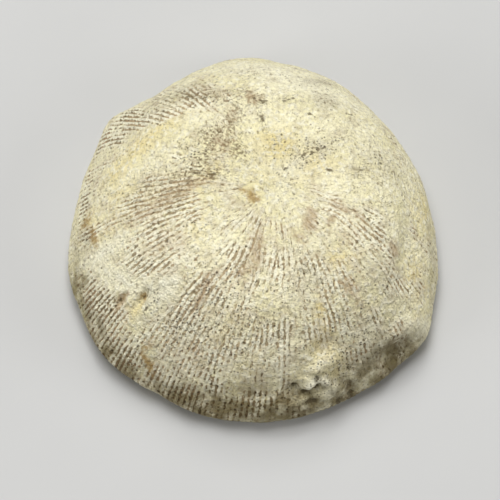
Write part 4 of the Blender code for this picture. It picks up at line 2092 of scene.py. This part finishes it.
    def pore_share(self, canvas: Canvas) -> bpy.types.NodeSocket:
        """Tiny dark pores in several sizes, in drifts and where the skin is pitted.

        Args:
            canvas: what the finish is drawn with.

        Returns:
            The share's socket.
        """
        wiring = canvas.wiring
        share: object = 0.0
        for pores in self.pores:
            noise = wiring.noise(canvas.places, pores.cells)
            drift = wiring.math("SUBTRACT", noise, pores.start)
            patch = wiring.math("ADD", drift, wiring.mask(Tint.PITTED))
            dots = wiring.product(pores.dots.mask(canvas), wiring.band(patch, *self.pore_cut))
            share = wiring.math("MAXIMUM", share, dots)
        return wiring.product(share, self.pore_most)

    def tooth(self, canvas: Canvas, rise: object) -> bpy.types.NodeSocket:
        """The fine tooth of the calcite: the septa's detail and grains of noise as a bump.

        Args:
            canvas: what the finish is drawn with.
            rise: the septa's fine rise in mm.

        Returns:
            The normal's socket.
        """
        height = rise
        for cells, grain in self.grains:
            noise = canvas.wiring.noise(canvas.places, cells)
            height = canvas.wiring.math("MULTIPLY_ADD", noise, grain, height)
        bump = canvas.wiring.add("ShaderNodeBump", Strength=1.0, Distance=MM, Height=height)
        return bump.outputs["Normal"]


@dataclass(frozen=True)
class FloorFinish:
    """Plain pale floor with the faintest unevenness, in blotches of some centimetres."""

    pale: Colour = (0.52, 0.52, 0.51)
    paler: Colour = (0.56, 0.56, 0.55)
    blotches: Blotches = Blotches(40.0, 0.2, 0.8)
    roughness: float = 0.9

    def material(self, mottle: bpy.types.NodeTree) -> bpy.types.Material:
        """The floor's material.

        Args:
            mottle: the group that gives soft blotches.

        Returns:
            The material.
        """
        material = bpy.data.materials.new("pale_floor")
        material.use_nodes = True
        tree = material.node_tree
        wiring = Wiring(tree)
        coordinates = tree.nodes.new("ShaderNodeTexCoord")
        mask = self.blotches.mask(Canvas(wiring, coordinates.outputs["Object"], mottle))
        shader = tree.nodes["Principled BSDF"]
        shader.inputs["Roughness"].default_value = self.roughness
        wiring.feed(shader.inputs["Base Color"], wiring.mix(mask, self.pale, self.paler))
        return material


@dataclass(frozen=True)
class Lamp:
    """A soft square light: where it hangs, how wide it is and how bright, in mm and watts."""

    name: str
    turn: float
    elevation: float
    distance: float
    width: float
    power: float

    def place(self, target: Vector) -> bpy.types.Object:
        """Hang the light and turn it to the target.

        Args:
            target: what it shines at, in metres.

        Returns:
            The light.
        """
        data = bpy.data.lights.new(self.name, "AREA")
        data.energy = self.power
        data.size = self.width * MM
        lamp = bpy.data.objects.new(self.name, data)
        hang(lamp, target, direction(self.turn, self.elevation), self.distance)
        return lamp


def direction(turn: float, elevation: float) -> Vector:
    """The way to a place in the sky.

    Args:
        turn: degrees about +Z from +X.
        elevation: degrees above the floor.

    Returns:
        The way, one unit long.
    """
    around = math.radians(turn)
    above = math.radians(elevation)
    return Vector((
        math.cos(above) * math.cos(around), math.cos(above) * math.sin(around), math.sin(above)
    ))


def hang(thing: bpy.types.Object, target: Vector, way: Vector, distance: float) -> None:
    """Put a light or a camera in the scene, some way off and turned to the target.

    Args:
        thing: the light or the camera.
        target: what it faces, in metres.
        way: the way to it from the target, one unit long.
        distance: how far off it is, in mm.
    """
    thing.location = target + way * distance * MM
    thing.rotation_euler = (-way).to_track_quat("-Z", "Y").to_euler()
    bpy.context.scene.collection.objects.link(thing)


@dataclass(frozen=True)
class Studio:
    """The floor, the lights and the camera, in millimetres, degrees and watts."""

    floor_size: float = 3000.0
    aim: tuple[float, float, float] = (-0.11, -0.66, 1.11)
    camera_turn: float = -90.0
    camera_elevation: float = 66.0
    camera_distance: float = 194.8
    camera_near: float = 10.0
    lens: float = 400.0
    sky: Colour = (1.0, 1.0, 1.0)
    sky_strength: float = 0.08
    lamps: tuple[Lamp, ...] = (
        Lamp("back", 90, 58, 160, 80, 0.113),
        Lamp("left", 204, 26, 160, 80, 0.071),
        Lamp("right", -14, 26, 160, 80, 0.068),
        Lamp("top", 118, 79, 200, 120, 0.250),
    )

    def build(self, mottle: bpy.types.NodeTree) -> None:
        """Make the floor, the sky, the lamps and the camera.

        Args:
            mottle: the group that gives soft blotches.
        """
        self.floor(mottle)
        self.open_sky()
        target = Vector(self.aim) * MM
        for lamp in self.lamps:
            lamp.place(target)
        self.camera(target)
        bpy.context.scene.view_settings.view_transform = "Standard"

    def floor(self, mottle: bpy.types.NodeTree) -> None:
        """Lay the floor, one square on z = 0.

        Args:
            mottle: the group that gives soft blotches.
        """
        half = self.floor_size * MM / 2
        corners = [(-half, -half, 0), (half, -half, 0), (half, half, 0), (-half, half, 0)]
        mesh = bpy.data.meshes.new("floor")
        mesh.from_pydata(corners, [], [(0, 1, 2, 3)])
        mesh.materials.append(FloorFinish().material(mottle))
        floor = bpy.data.objects.new("floor", mesh)
        bpy.context.scene.collection.objects.link(floor)

    def open_sky(self) -> None:
        """Light the scene faintly from all round."""
        world = bpy.data.worlds.new("studio")
        world.use_nodes = True
        background = world.node_tree.nodes["Background"]
        background.inputs["Color"].default_value = (*self.sky, 1.0)
        background.inputs["Strength"].default_value = self.sky_strength
        bpy.context.scene.world = world

    def camera(self, target: Vector) -> None:
        """Set the camera over the near edge, looking down at the target.

        Args:
            target: what it looks at, in metres.
        """
        data = bpy.data.cameras.new("camera")
        data.lens = self.lens
        data.clip_start = self.camera_near * MM
        camera = bpy.data.objects.new("camera", data)
        way = direction(self.camera_turn, self.camera_elevation)
        hang(camera, target, way, self.camera_distance)
        bpy.context.scene.camera = camera


@dataclass
class ButtonCoral:
    """The whole fossil: its skin, dressed, in the place of the CAD solid."""

    skin: CoralSkin = field(default_factory=CoralSkin)
    finish: FossilFinish = field(default_factory=FossilFinish)

    def build(self, mottle: bpy.types.NodeTree) -> bpy.types.Object:
        """Build the skin, give it its material and put it in the frame.

        Args:
            mottle: the group that gives soft blotches.

        Returns:
            The coral.
        """
        low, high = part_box(NODE)
        coral = self.skin.build(low, high)
        coral.data.materials.append(self.finish.material(mottle))
        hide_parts(NODE)
        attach(coral, BODY)
        return coral


def main() -> None:
    """Build the coral and the studio round it."""
    logging.basicConfig(level=logging.INFO, format="%(name)s: %(message)s")
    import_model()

    mottle = mottle_group()
    coral = ButtonCoral().build(mottle)
    mesh = coral.data
    log.info("%s: %d points, %d faces", coral.name, len(mesh.vertices), len(mesh.polygons))
    Studio().build(mottle)
    log.info("studio: floor, lamps and camera")


if __name__ == "__main__":
    main()
